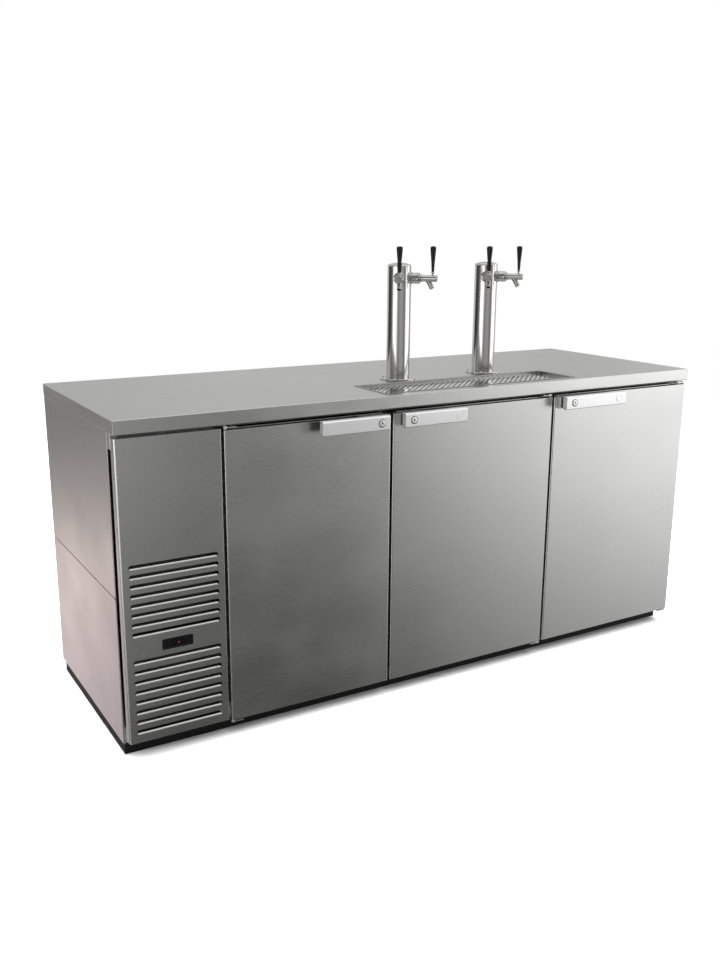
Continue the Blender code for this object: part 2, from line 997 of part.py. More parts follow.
# ---------------------------------------------------------------- doors
for index, (left, right, side) in enumerate(DOORS):
    tag = f"door_{index + 1}"
    hinge_x = HINGE_X[index]
    hinge = empty(f"{tag}_hinge", (hinge_x, HINGE_INSET_Y, 0.0), ORIGIN)

    def local(x, y, z, hx=hinge_x):
        return (x - hx, y - HINGE_INSET_Y, z)

    panel = box(
        f"{tag}_panel",
        local(left, 0.0, DOOR_BOTTOM),
        local(right, DOOR_T, DOOR_TOP),
        STEEL,
        hinge,
        (0, 0, 0),
        edge=0.0012,
    )
    for end, (z0, z1) in enumerate(
        ((DOOR_BOTTOM - 0.01, 0.0680), (0.8570, DOOR_TOP + 0.01))
    ):
        cut(
            panel,
            round_bar(
                f"{tag}_pin_hole_{end}",
                PIN_HOLE_R,
                (0, 0, z0),
                (0, 0, z1),
                STEEL,
                hinge,
                sides=16,
            ),
        )

    g0, g1 = left + GASKET_INSET, right - GASKET_INSET
    gz0, gz1 = DOOR_BOTTOM + GASKET_INSET, DOOR_TOP - GASKET_INSET
    gasket = box(
        f"{tag}_gasket",
        local(g0, DOOR_T + GAP, gz0),
        local(g1, DOOR_T + GAP + GASKET_T, gz1),
        RUBBER,
        hinge,
        (0, 0, 0),
    )
    cut(
        gasket,
        box(
            f"{tag}_gasket_inner",
            local(g0 + GASKET_W, DOOR_T - 0.01, gz0 + GASKET_W),
            local(g1 - GASKET_W, DOOR_T + 0.03, gz1 - GASKET_W),
            RUBBER,
            hinge,
            (0, 0, 0),
        ),
    )

    h0, h1 = HANDLES[index]
    latch = -side  # the handle's block is at the door's free edge
    front = -HANDLE_REACH
    back = front + HANDLE_COVER
    if latch > 0:
        b0, b1 = h1 - HANDLE_BLOCK, h1
        n0, n1 = h1 - HANDLE_BLOCK + 0.003, h1 - 0.003
    else:
        b0, b1 = h0, h0 + HANDLE_BLOCK
        n0, n1 = h0 + 0.003, h0 + HANDLE_BLOCK - 0.003
    lock_x = LOCK_X[index]
    handle = box(
        f"{tag}_handle",
        local(h0, front, HANDLE_Z0),
        local(h1, back, HANDLE_Z1),
        STEEL_BRIGHT,
        hinge,
        (0, 0, 0),
        edge=0.0012,
    )
    fuse(
        handle,
        box(
            f"{tag}_handle_neck",
            local(n0, back - 0.003, HANDLE_Z0 + 0.003),
            local(n1, back + 0.006, HANDLE_Z1 - 0.003),
            STEEL_BRIGHT,
            hinge,
            (0, 0, 0),
        ),
    )
    fuse(
        handle,
        box(
            f"{tag}_handle_base",
            local(b0, back + 0.004, HANDLE_Z0),
            local(b1, -GAP, HANDLE_Z1),
            STEEL_BRIGHT,
            hinge,
            (0, 0, 0),
        ),
    )
    lock_z = (HANDLE_Z0 + HANDLE_Z1) / 2
    cut(
        handle,
        round_bar(
            f"{tag}_lock_bore",
            LOCK_R + 0.0005,
            local(lock_x, front - 0.01, lock_z),
            local(lock_x, front + 0.0280, lock_z),
            STEEL_BRIGHT,
            hinge,
            sides=24,
        ),
    )
    lock_axis = empty(f"{tag}_lock_axis", local(lock_x, front, lock_z), hinge)
    bm = bmesh.new()
    turned(
        bm,
        (
            (LOCK_R - 0.0010, -LOCK_OUT),
            (LOCK_R, -LOCK_OUT + 0.0010),
            (LOCK_R, 0.0260),
        ),
        24,
        along((0, 1, 0)),
    )
    plug = add(f"{tag}_lock", bm, STEEL_BRIGHT, lock_axis, smooth=35)
    cut(
        plug,
        boxes(
            f"{tag}_keyway",
            [((-0.0010, -0.01, -0.0040), (0.0010, 0.0060, 0.0040))],
            STEEL_BRIGHT,
            lock_axis,
        ),
    )

bpy.context.view_layer.update()
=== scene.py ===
import math

import bmesh
import bpy
from mathutils import Matrix, Vector


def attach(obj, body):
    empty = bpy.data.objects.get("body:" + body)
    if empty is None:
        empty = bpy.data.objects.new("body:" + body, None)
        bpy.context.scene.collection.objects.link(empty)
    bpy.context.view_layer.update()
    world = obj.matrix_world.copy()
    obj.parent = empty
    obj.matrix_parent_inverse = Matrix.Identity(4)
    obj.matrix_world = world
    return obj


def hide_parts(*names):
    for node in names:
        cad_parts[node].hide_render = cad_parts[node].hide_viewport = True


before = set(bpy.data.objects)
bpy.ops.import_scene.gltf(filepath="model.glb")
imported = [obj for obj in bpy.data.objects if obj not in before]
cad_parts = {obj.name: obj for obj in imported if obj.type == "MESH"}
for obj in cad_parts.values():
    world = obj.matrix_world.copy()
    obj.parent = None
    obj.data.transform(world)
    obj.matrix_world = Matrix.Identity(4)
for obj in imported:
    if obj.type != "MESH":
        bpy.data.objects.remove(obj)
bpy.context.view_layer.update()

# Cabinet coordinates: x from the worktop's left end, y from the doors' front faces towards
# the back, z up from the floor, in metres. The frame is the same, moved by CENTRE.
CENTRE = Vector((-2.007 / 2, -(-0.0515 + 0.700) / 2, 0.0))

WIDTH, DEPTH, TOP_Z, TOP_T = 2.007, 0.700, 0.925, 0.0374
DOORS = ((0.2910, 0.8015, -1), (0.8095, 1.4030, 1), (1.4110, 1.9993, 1))
DOOR_Z0, DOOR_Z1, DOOR_T = 0.0513, 0.8735, 0.052
HANDLES = ((0.5542, 0.7682), (0.8185, 1.0335), (1.4165, 1.6690))
HANDLE_Z0, HANDLE_Z1 = 0.8395, 0.8795
LOCK_X = (0.7413, 0.8476, 1.4499)
EMBLEM_X = (0.5813, 1.0090, 1.6410)
LOCK_Z = (HANDLE_Z0 + HANDLE_Z1) / 2
GRILLE = (0.0005, 0.2820, 0.0565, 0.8792)
SLOT_X0, SLOT_X1, SLOT_H = 0.0212, 0.2642, 0.0136
TRAY = (0.800, 0.036, 1.524, 0.211)
TOWERS = (("left", 0.9965), ("right", 1.3308))
TOWER_Y = 0.271
TAP_Z = 1.2375
TAP_TURNS = (-32.8, 40.5)
COLUMN_R, COLUMN_TOP = 0.0365, 1.2715


# ------------------------------------------------------------------ materials
def blank(name, colour, metallic, roughness):
    mat = bpy.data.materials.new(name)
    mat.use_nodes = True
    tree = mat.node_tree
    shader = tree.nodes["Principled BSDF"]
    shader.inputs["Base Color"].default_value = (*colour, 1.0)
    shader.inputs["Metallic"].default_value = metallic
    shader.inputs["Roughness"].default_value = roughness
    return mat, tree, shader


def noise(tree, scales, detail=3.0, rough=0.55, turn=(0.0, 0.0, 0.0)):
    """Noise in real metres: scales are its features per metre along each axis."""
    coord = tree.nodes.new("ShaderNodeTexCoord")
    place = tree.nodes.new("ShaderNodeMapping")
    place.inputs["Scale"].default_value = scales
    place.inputs["Rotation"].default_value = turn
    tex = tree.nodes.new("ShaderNodeTexNoise")
    tex.inputs["Scale"].default_value = 1.0
    tex.inputs["Detail"].default_value = detail
    tex.inputs["Roughness"].default_value = rough
    tree.links.new(coord.outputs["Object"], place.inputs["Vector"])
    tree.links.new(place.outputs["Vector"], tex.inputs["Vector"])
    return tex.outputs["Fac"]


def math_node(tree, kind, a, b):
    made = tree.nodes.new("ShaderNodeMath")
    made.operation = kind
    for socket, value in zip(made.inputs, (a, b)):
        if isinstance(value, (int, float)):
            socket.default_value = value
        else:
            tree.links.new(value, socket)
    return made.outputs[0]


def weighted(tree, *parts):
    total = None
    for value, weight in parts:
        term = math_node(tree, "MULTIPLY", value, weight)
        total = term if total is None else math_node(tree, "ADD", total, term)
    return total


def to_range(tree, value, low, high, start=0.25, end=0.75):
    made = tree.nodes.new("ShaderNodeMapRange")
    made.inputs["From Min"].default_value = start
    made.inputs["From Max"].default_value = end
    made.inputs["To Min"].default_value = low
    made.inputs["To Max"].default_value = high
    tree.links.new(value, made.inputs["Value"])
    return made.outputs["Result"]


def blend_colour(tree, value, low, high):
    made = tree.nodes.new("ShaderNodeMix")
    made.data_type = "RGBA"
    made.inputs[6].default_value = (*low, 1.0)
    made.inputs[7].default_value = (*high, 1.0)
    tree.links.new(value, made.inputs[0])
    return made.outputs[2]


def bump(tree, shader, height, strength, distance):
    made = tree.nodes.new("ShaderNodeBump")
    made.inputs["Strength"].default_value = strength
    made.inputs["Distance"].default_value = distance
    tree.links.new(height, made.inputs["Height"])
    tree.links.new(made.outputs["Normal"], shader.inputs["Normal"])


def shade(colour, factor):
    return tuple(min(1.0, max(0.0, c * factor)) for c in colour)


def brushed(name, colour, rough, grain, spread=0.05, contrast=0.06, relief=0.12):
    """Brushed stainless steel: long fine strokes, a faint mottle and handling marks."""
    mat, tree, shader = blank(name, colour, 1.0, rough)
    strokes = noise(tree, grain, 3.0, 0.6)
    mottle = noise(tree, (130.0, 130.0, 130.0), 2.0, 0.6)
    clouds = noise(tree, (3.1, 3.1, 4.3), 2.0, 0.5)
    tone = weighted(tree, (strokes, 0.50), (mottle, 0.30), (clouds, 0.20))
    spot = to_range(tree, tone, 0.0, 1.0, 0.34, 0.66)
    colour_out = blend_colour(
        tree, spot, shade(colour, 1 - contrast), shade(colour, 1 + contrast)
    )
    tree.links.new(colour_out, shader.inputs["Base Color"])
    wear = weighted(tree, (strokes, 0.45), (clouds, 0.55))
    tree.links.new(
        to_range(tree, wear, rough - spread, rough + spread, 0.32, 0.68),
        shader.inputs["Roughness"],
    )
    bump(tree, shader, strokes, relief, 0.00006)
    return mat


def cast(name, colour, metallic, rough, size, relief, contrast=0.08, depth=0.0002):
    """A moulded, painted or cast surface with a fine even texture."""
    mat, tree, shader = blank(name, colour, metallic, rough)
    grain = noise(tree, (size, size, size), 3.0, 0.55)
    clouds = noise(tree, (9.0, 9.0, 9.0), 2.0, 0.5)
    tone = weighted(tree, (grain, 0.6), (clouds, 0.4))
    tree.links.new(
        blend_colour(
            tree,
            to_range(tree, tone, 0.0, 1.0, 0.34, 0.66),
            shade(colour, 1 - contrast),
            shade(colour, 1 + contrast),
        ),
        shader.inputs["Base Color"],
    )
    tree.links.new(
        to_range(tree, tone, rough - 0.05, rough + 0.05, 0.34, 0.66),
        shader.inputs["Roughness"],
    )
    bump(tree, shader, grain, relief, depth)
    return mat


def dull(mat, level):
    """Less mirror reflection than plain plastic."""
    shader = mat.node_tree.nodes["Principled BSDF"]
    shader.inputs["Specular IOR Level"].default_value = level


def galvanised(name, colour, rough):
    """Galvanised liner sheet with its faint spangle."""
    mat, tree, shader = blank(name, colour, 0.85, rough)
    coord = tree.nodes.new("ShaderNodeTexCoord")
    cells = tree.nodes.new("ShaderNodeTexVoronoi")
    cells.inputs["Scale"].default_value = 70.0
    tree.links.new(coord.outputs["Object"], cells.inputs["Vector"])
    split = tree.nodes.new("ShaderNodeSeparateColor")
    tree.links.new(cells.outputs["Color"], split.inputs[0])
    clouds = noise(tree, (14.0, 14.0, 14.0), 3.0, 0.6)
    tone = weighted(tree, (split.outputs[0], 0.5), (clouds, 0.5))
    tree.links.new(
        blend_colour(
            tree,
            to_range(tree, tone, 0.0, 1.0, 0.2, 0.8),
            shade(colour, 0.93),
            shade(colour, 1.07),
        ),
        shader.inputs["Base Color"],
    )
    tree.links.new(
        to_range(tree, tone, rough - 0.08, rough + 0.08, 0.2, 0.8),
        shader.inputs["Roughness"],
    )
    bump(tree, shader, clouds, 0.05, 0.0002)
    return mat


STEEL = (0.62, 0.62, 0.61)
DOOR_STEEL = brushed(
    "door_steel", STEEL, 0.27, (24.0, 1500.0, 1500.0), contrast=0.018, relief=0.025
)
TOP_STEEL = brushed(
    "worktop_steel", STEEL, 0.28, (24.0, 1500.0, 1500.0), contrast=0.018, relief=0.03
)
SIDE_STEEL = brushed(
    "side_steel", STEEL, 0.27, (1500.0, 1500.0, 24.0), contrast=0.020, relief=0.03
)
GRILLE_STEEL = brushed(
    "grille_steel",
    (0.60, 0.60, 0.59),
    0.27,
    (24.0, 1500.0, 1500.0),
    contrast=0.018,
    relief=0.025,
)
# brighter copy of the grille steel for the lips drawn from the same sheet: painted light
LIP_STEEL_LIT = brushed(
    "louvre_lip_painted_light",
    (0.70, 0.70, 0.685),
    0.30,
    (12.0, 1200.0, 1200.0),
    contrast=0.04,
    relief=0.08,
)
TUBE_STEEL = brushed(
    "tower_steel",
    (0.64, 0.635, 0.625),
    0.15,
    (40.0, 40.0, 1800.0),
    spread=0.04,
    contrast=0.035,
    relief=0.06,
)
TAP_STEEL = brushed(
    "tap_steel",
    (0.54, 0.54, 0.535),
    0.16,
    (420.0, 420.0, 420.0),
    spread=0.05,
    contrast=0.05,
    relief=0.05,
)
# darker copy of the tap steel, used only for the spouts: painted shade
SPOUT_STEEL_SHADED = brushed(
    "spout_steel_painted_shade",
    (0.36, 0.36, 0.355),
    0.24,
    (420.0, 420.0, 420.0),
    spread=0.05,
    contrast=0.05,
    relief=0.05,
)
PAN_STEEL = brushed(
    "tray_steel", (0.40, 0.40, 0.395), 0.30, (9.0, 1400.0, 1400.0), contrast=0.05
)
GRID_STEEL = brushed(
    "grid_steel", (0.93, 0.93, 0.92), 0.10, (11.0, 1400.0, 1400.0), contrast=0.05
)
# hinge rail steel made near black: painted shade of the rails in the dark gaps under the worktop and
# by the floor
RAIL_STEEL_SHADED = brushed(
    "rail_steel_painted_shade", (0.20, 0.20, 0.195), 0.36, (11.0, 900.0, 900.0), contrast=0.08
)
PULL_METAL = brushed(
    "pull_metal",
    (0.93, 0.93, 0.93),
    0.39,
    (16.0, 1300.0, 1300.0),
    contrast=0.025,
    relief=0.10,
)
LOCK_METAL = brushed(
    "lock_metal", (0.95, 0.95, 0.94), 0.36, (500.0, 500.0, 500.0), contrast=0.05
)
SCREW_METAL = brushed(
    "screw_metal", (0.90, 0.90, 0.89), 0.25, (600.0, 600.0, 600.0), contrast=0.08
)
LINER = galvanised("liner_sheet", (0.63, 0.64, 0.65), 0.36)
BLACK_PAINT = cast("black_paint", (0.0060, 0.0060, 0.0062), 0.0, 0.50, 700.0, 0.20)
dull(BLACK_PAINT, 0.16)
COMPRESSOR_PAINT = cast(
    "compressor_paint", (0.014, 0.014, 0.015), 0.0, 0.34, 420.0, 0.25
)
GRIP_BLACK = cast("grip_black", (0.0040, 0.0040, 0.0042), 0.0, 0.32, 900.0, 0.08)
dull(GRIP_BLACK, 0.26)
FAN_BLACK = cast("fan_black", (0.020, 0.020, 0.021), 0.0, 0.45, 700.0, 0.12)
GASKET = cast("gasket_rubber", (0.115, 0.115, 0.120), 0.0, 0.62, 520.0, 0.20)
FOAM = cast("line_foam", (0.028, 0.028, 0.028), 0.0, 0.85, 320.0, 0.60, depth=0.0006)
BUSH = cast("nylon_bush", (0.045, 0.045, 0.046), 0.0, 0.45, 600.0, 0.15)
FINS = brushed("fin_metal", (0.60, 0.61, 0.62), 0.38, (700.0, 700.0, 30.0))
# near-black coil paint: the condenser fins are made dark for the shade of the machine bay, painted
# shade
COIL_SHADE_DARK = cast("coil_painted_shade", (0.030, 0.030, 0.031), 0.2, 0.55, 500.0, 0.30)
COPPER = brushed("copper_tube", (0.72, 0.38, 0.24), 0.28, (300.0, 300.0, 300.0))
BEZEL = cast("display_bezel", (0.0030, 0.0030, 0.0032), 0.0, 0.30, 800.0, 0.05)
dull(BEZEL, 0.22)
PULL_BACK = cast("pull_back", (0.030, 0.030, 0.031), 0.3, 0.50, 500.0, 0.20)
# dark steel for the ring round each key plug: painted shade of its outline
LOCK_RING_SHADE = brushed("lock_ring_painted_shade", (0.34, 0.34, 0.34), 0.30, (500.0, 500.0, 500.0))
# near-black for the faces inside the spout bores and the keyholes: painted shade
BORE_PAINTED_SHADE = cast("bore_painted_shade", (0.0025, 0.0025, 0.0026), 0.0, 0.70, 500.0, 0.30)
dull(BORE_PAINTED_SHADE, 0.05)


def display_glass():
    """Tinted window: nearly black, with the faint upright bars of its unlit digits."""
    mat, tree, shader = blank("display_window", (0.004, 0.004, 0.0045), 0.0, 0.14)
    shader.inputs["Specular IOR Level"].default_value = 0.18
    bars = noise(tree, (260.0, 1.0, 6.0), 1.0, 0.4)
    tree.links.new(
        blend_colour(
            tree,
            to_range(tree, bars, 0.0, 1.0, 0.35, 0.65),
            (0.0020, 0.0020, 0.0022),
            (0.0042, 0.0042, 0.0045),
        ),
        shader.inputs["Base Color"],
    )
    return mat


WINDOW = display_glass()


def lamp():
    mat, tree, shader = blank("lamp_red", (0.45, 0.012, 0.010), 0.0, 0.35)
    glow = noise(tree, (2500.0, 2500.0, 2500.0), 1.0, 0.4)
    tree.links.new(
        blend_colour(tree, glow, (0.75, 0.020, 0.015), (0.95, 0.050, 0.035)),
        shader.inputs["Emission Color"],
    )
    shader.inputs["Emission Strength"].default_value = 0.75
    return mat


LAMP = lamp()


# ------------------------------------------------------------------ mesh helpers
def finish(
    name, bm, mats, body, replaces=(), smooth=32.0, weld=1e-6, moved=None
):
    """Turn a bmesh in cabinet coordinates into a piece that rides on a body."""
    if weld:
        bmesh.ops.remove_doubles(bm, verts=bm.verts, dist=weld)
    bmesh.ops.recalc_face_normals(bm, faces=bm.faces)
    if moved is not None:
        bmesh.ops.transform(bm, matrix=moved, verts=bm.verts)
    bmesh.ops.translate(bm, verts=bm.verts, vec=CENTRE)
    mesh = bpy.data.meshes.new(name)
    bm.to_mesh(mesh)
    bm.free()
    for mat in mats if isinstance(mats, (list, tuple)) else [mats]:
        mesh.materials.append(mat)
    mesh.shade_smooth()
    mesh.set_sharp_from_angle(angle=math.radians(smooth))
    obj = bpy.data.objects.new(name, mesh)
    bpy.context.scene.collection.objects.link(obj)
    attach(obj, body)
    if replaces:
        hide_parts(*replaces)
    return obj


def edges_of(verts, test=lambda e: True):
    found = {e for v in verts for e in v.link_edges}
    return [e for e in found if test(e)]


def add_box(bm, lo, hi, radius=0.0, segments=2, mat=0):
    lo, hi = Vector(lo), Vector(hi)
    made = bmesh.ops.create_cube(bm, size=1.0)["verts"]
    bmesh.ops.scale(bm, vec=hi - lo, verts=made)
    bmesh.ops.translate(bm, vec=(lo + hi) / 2, verts=made)
    faces = {f for v in made for f in v.link_faces}
    for f in faces:
        f.material_index = mat
    if radius:
        out = bmesh.ops.bevel(
            bm,
            geom=edges_of(made),
            offset=radius,
            segments=segments,
            profile=0.5,
            affect="EDGES",
            clamp_overlap=True,
        )
        for f in out["faces"]:
            f.material_index = mat
    return made


def upright_box(bm, lo, hi, corner, rim, segments=4, front_only=False, mat=0):
    """Folded sheet box: larger bends on the upright edges, a finer one round the rims."""
    lo, hi = Vector(lo), Vector(hi)
    made = bmesh.ops.create_cube(bm, size=1.0)["verts"]
    bmesh.ops.scale(bm, vec=hi - lo, verts=made)
    bmesh.ops.translate(bm, vec=(lo + hi) / 2, verts=made)

    def is_upright(e):
        a, b = (v.co for v in e.verts)
        if abs(a.z - b.z) < 1e-6:
            return False
        return not front_only or a.y < (lo.y + hi.y) / 2

    out = bmesh.ops.bevel(
        bm,
        geom=edges_of(made, is_upright),
        offset=corner,
        segments=segments,
        profile=0.5,
        affect="EDGES",
    )
    verts = {v for f in out["faces"] for v in f.verts} | {v for v in made if v.is_valid}
    flat = [
        e
        for e in edges_of(verts)
        if abs(e.verts[0].co.z - e.verts[1].co.z) < 1e-6
        and min(abs(e.verts[0].co.z - lo.z), abs(e.verts[0].co.z - hi.z)) < 1e-6
    ]
    if rim:
        bmesh.ops.bevel(
            bm,
            geom=flat,
            offset=rim,
            segments=2,
            profile=0.5,
            affect="EDGES",
            clamp_overlap=True,
        )


def along(direction, at=(0, 0, 0)):
    turn = Vector((0, 0, 1)).rotation_difference(Vector(direction)).to_matrix().to_4x4()
    return Matrix.Translation(Vector(at)) @ turn


def add_lathe(bm, profile, sides=48, matrix=None, closed=False, mat=0, squash=(1, 1)):
    """Turn (radius, height) pairs about +Z. A closed profile makes a ring."""
    rings = []
    for radius, height in profile:
        if radius < 1e-7:
            rings.append([bm.verts.new((0, 0, height))])
            continue
        rings.append(
            [
                bm.verts.new(
                    (
                        radius * squash[0] * math.cos(2 * math.pi * k / sides),
                        radius * squash[1] * math.sin(2 * math.pi * k / sides),
                        height,
                    )
                )
                for k in range(sides)
            ]
        )
    faces = []
    pairs = list(zip(rings, rings[1:]))
    if closed:
        pairs.append((rings[-1], rings[0]))
    for low, high in pairs:
        for i in range(sides):
            j = (i + 1) % sides
            if len(low) == 1 and len(high) == 1:
                break
            if len(low) == 1:
                faces.append(bm.faces.new((low[0], high[j], high[i])))
            elif len(high) == 1:
                faces.append(bm.faces.new((low[i], low[j], high[0])))
            else:
                faces.append(bm.faces.new((low[i], low[j], high[j], high[i])))
    if not closed:
        if len(rings[0]) > 1:
            faces.append(bm.faces.new(list(reversed(rings[0]))))
        if len(rings[-1]) > 1:
            faces.append(bm.faces.new(rings[-1]))
    for f in faces:
        f.material_index = mat
    verts = [v for ring in rings for v in ring]
    if matrix is not None:
        bmesh.ops.transform(bm, matrix=matrix, verts=verts)
    return verts


def loft(bm, rings, mat=0, cap=True):
    loops = [[bm.verts.new(p) for p in ring] for ring in rings]
    count = len(loops[0])
    for low, high in zip(loops, loops[1:]):
        for i in range(count):
            j = (i + 1) % count
            bm.faces.new((low[i], low[j], high[j], high[i])).material_index = mat
    if cap:
        bm.faces.new(list(reversed(loops[0]))).material_index = mat
        bm.faces.new(loops[-1]).material_index = mat
    return [v for loop in loops for v in loop]


def add_pipe(bm, points, radius, sides=12, mat=0, ring=False):
    """Round tube through points, with a frame carried along so that it doesn't twist."""
    points = [Vector(p) for p in points]
    count = len(points)
    tangents = []
    for i in range(count):
        if ring:
            a, b = points[i - 1], points[(i + 1) % count]
        else:
            a, b = points[max(i - 1, 0)], points[min(i + 1, count - 1)]
        tangents.append((b - a).normalized())
    side = tangents[0].orthogonal().normalized()
    loops = []
    for p, t in zip(points, tangents):
        side = (side - t * side.dot(t)).normalized()
        other = t.cross(side)
        loops.append(
            [
                bm.verts.new(
                    p
                    + side * radius * math.cos(2 * math.pi * k / sides)
                    + other * radius * math.sin(2 * math.pi * k / sides)
                )
                for k in range(sides)
            ]
        )
    pairs = list(zip(loops, loops[1:]))
    if ring:
        pairs.append((loops[-1], loops[0]))
    for low, high in pairs:
        for i in range(sides):
            j = (i + 1) % sides
            bm.faces.new((low[i], low[j], high[j], high[i])).material_index = mat
    if not ring:
        bm.faces.new(list(reversed(loops[0]))).material_index = mat
        bm.faces.new(loops[-1]).material_index = mat


def arc(cx, cy, radius, start, end, count):
    return [
        (
            cx + radius * math.cos(math.radians(start + (end - start) * k / count)),
            cy + radius * math.sin(math.radians(start + (end - start) * k / count)),
        )
        for k in range(count + 1)
    ]


def smooth_path(points, steps=6):
    """Catmull-Rom through the points."""
    points = [Vector(p) for p in points]
    pts = [2 * points[0] - points[1], *points, 2 * points[-1] - points[-2]]
    out = []
    for i in range(1, len(pts) - 2):
        p0, p1, p2, p3 = pts[i - 1 : i + 3]
        for s in range(steps):
            t = s / steps
            out.append(
                0.5
                * (
                    2 * p1
                    + (p2 - p0) * t
                    + (2 * p0 - 5 * p1 + 4 * p2 - p3) * t * t
                    + (3 * p1 - p0 - 3 * p2 + p3) * t * t * t
                )
            )
    out.append(points[-1])
    return out


def prism(bm, outline, axis, low, high, mat=0):
    """Extrude a closed outline. axis "y" takes (x, z) pairs, "z" takes (x, y) pairs."""

    def point(p, level):
        if axis == "y":
            return (p[0], level, p[1])
        if axis == "x":
            return (level, p[0], p[1])
        return (p[0], p[1], level)

    loft(bm, [[point(p, low) for p in outline], [point(p, high) for p in outline]], mat)


def rounded_outline(x0, z0, x1, z1, radius, count=5):
    return (
        arc(x1 - radius, z1 - radius, radius, 0, 90, count)
        + arc(x0 + radius, z1 - radius, radius, 90, 180, count)
        + arc(x0 + radius, z0 + radius, radius, 180, 270, count)
        + arc(x1 - radius, z0 + radius, radius, 270, 360, count)
    )


def screw_head(bm, at, direction, radius, height, mat=0, drive=True):
    """Low button head; the drive recess is a shallow round pit."""
    m = along(direction, at)
    profile = [
        (radius, 0.0),
        (radius, height * 0.35),
        (radius * 0.93, height * 0.68),
        (radius * 0.74, height * 0.92),
        (radius * 0.52, height),
    ]
    if drive:
        profile += [(radius * 0.46, height * 0.98), (radius * 0.42, height * 0.35)]
    profile += [(0.0, height * (0.35 if drive else 1.02))]
    add_lathe(bm, profile, 18, m, mat=mat)


def repaint(node, mat):
    """A CAD piece that keeps its shape gets its finished material."""
    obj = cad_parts[node]
    if not obj.data.materials:
        obj.data.materials.append(mat)
    for slot in obj.material_slots:
        slot.material = mat
    obj.data.shade_smooth()
    obj.data.set_sharp_from_angle(angle=math.radians(32))


def carved(bm, cutters, keep=None):
    """A bmesh with other closed bmeshes cut out of it."""
    made = []
    for index, source in enumerate([bm, *cutters]):
        bmesh.ops.recalc_face_normals(source, faces=source.faces)
        mesh = bpy.data.meshes.new(f"carve_{index}")
        source.to_mesh(mesh)
        source.free()
        obj = bpy.data.objects.new(f"carve_{index}", mesh)
        bpy.context.scene.collection.objects.link(obj)
        made.append(obj)
    for cutter in made[1:]:
        mod = made[0].modifiers.new(cutter.name, "BOOLEAN")
        mod.operation = "DIFFERENCE"
        mod.solver = "EXACT"
        mod.object = cutter
    shaped = made[0].evaluated_get(bpy.context.evaluated_depsgraph_get())
    mesh = bpy.data.meshes.new_from_object(shaped)
    out = bmesh.new()
    out.from_mesh(mesh)
    for obj in made:
        data = obj.data
        bpy.data.objects.remove(obj, do_unlink=True)
        bpy.data.meshes.remove(data)
    bpy.data.meshes.remove(mesh)
    for f in out.faces:
        f.material_index = 0
    return out


def merge(bm, other, mat=None):
    """Add another bmesh's shells to this one."""
    if mat is not None:
        for f in other.faces:
            f.material_index = mat
    mesh = bpy.data.meshes.new("merge")
    other.to_mesh(mesh)
    other.free()
    bm.from_mesh(mesh)
    bpy.data.meshes.remove(mesh)
    return bm


def bar(radius, start, end, sides=32):
    bm = bmesh.new()
    start, end = Vector(start), Vector(end)
    add_lathe(
        bm,
        ((radius, 0.0), (radius, (end - start).length)),
        sides,
        along(end - start, start),
    )
    return bm


def cutter_box(lo, hi):
    bm = bmesh.new()
    add_box(bm, lo, hi)
    return bm


def even(obj):
    """Large flat faces keep their own direction beside small bends."""
    mod = obj.modifiers.new("even_normals", "WEIGHTED_NORMAL")
    mod.keep_sharp = True
    mod.weight = 50
    return obj


# ------------------------------------------------------------------ worktop
bm = bmesh.new()
made = bmesh.ops.create_cube(bm, size=1.0)["verts"]
bmesh.ops.scale(bm, vec=(WIDTH, DEPTH, TOP_T), verts=made)
bmesh.ops.translate(bm, vec=(WIDTH / 2, DEPTH / 2, TOP_Z - TOP_T / 2), verts=made)
bmesh.ops.bevel(
    bm, geom=edges_of(made), offset=0.0017, segments=3, profile=0.5, affect="EDGES"
)
cuts = [
    cutter_box(
        (TRAY[0] + 0.006, TRAY[1] + 0.006, 0.80), (TRAY[2] - 0.006, TRAY[3] - 0.006, 1.0)
    )
]
for _, tower_x in TOWERS:
    cuts.append(bar(0.033, (tower_x, TOWER_Y, 0.80), (tower_x, TOWER_Y, 1.0), 40))
even(
    finish(
        "worktop_sheet",
        carved(bm, cuts),
        TOP_STEEL,
        "cabinet",
        ("worktop",),
    )
)

# ------------------------------------------------------------------ sides and plinth
for name, z0, z1 in (
    ("left_side_panel_upper", 0.447, 0.8873),
    ("left_side_panel_lower", 0.0313, 0.445),
):
    bm = bmesh.new()
    upright_box(bm, (0.0, 0.057, z0), (0.005, 0.698, z1), 0.0022, 0.0007, 5)
    even(
        finish(
            name.replace("panel", "skin"),
            bm,
            SIDE_STEEL,
            "cabinet",
            (name,),
        )
    )

bm = bmesh.new()
upright_box(bm, (1.965, 0.062, 0.0313), (2.005, 0.698, 0.8873), 0.0022, 0.0008, 4)
even(
    finish(
        "right_side_skin", bm, SIDE_STEEL, "cabinet", ("right_side_wall",)
    )
)

bm = bmesh.new()
add_box(bm, (0.002, 0.059, 0.0), (2.005, 0.670, 0.031), 0.0015, 2)
even(
    finish(
        "plinth_frame", bm, BLACK_PAINT, "cabinet", ("base_plinth",)
    )
)

# small bright lip of the cabinet frame over the louvred panel's upper left corner
bm = bmesh.new()
add_box(bm, (0.0008, 0.0300, 0.8470), (0.0200, 0.0560, 0.8870), 0.0006, 1)
even(finish("corner_bracket", bm, SIDE_STEEL, "cabinet"))

# ------------------------------------------------------------------ louvred front panel
gx0, gx1, gz0, gz1 = GRILLE
bm = bmesh.new()
made = bmesh.ops.create_cube(bm, size=1.0)["verts"]
bmesh.ops.scale(bm, vec=(gx1 - gx0, 0.0617, gz1 - gz0), verts=made)
bmesh.ops.translate(
    bm, vec=((gx0 + gx1) / 2, 0.0617 / 2, (gz0 + gz1) / 2), verts=made
)


def grille_bend(at_left):
    found = []
    for e in bm.edges:
        a, b = (v.co for v in e.verts)
        if abs(a.z - b.z) < 0.1 or abs(a.x - b.x) > 1e-5 or a.y > 0.001:
            continue
        if (a.x < 0.1) == at_left:
            found.append(e)
    return found


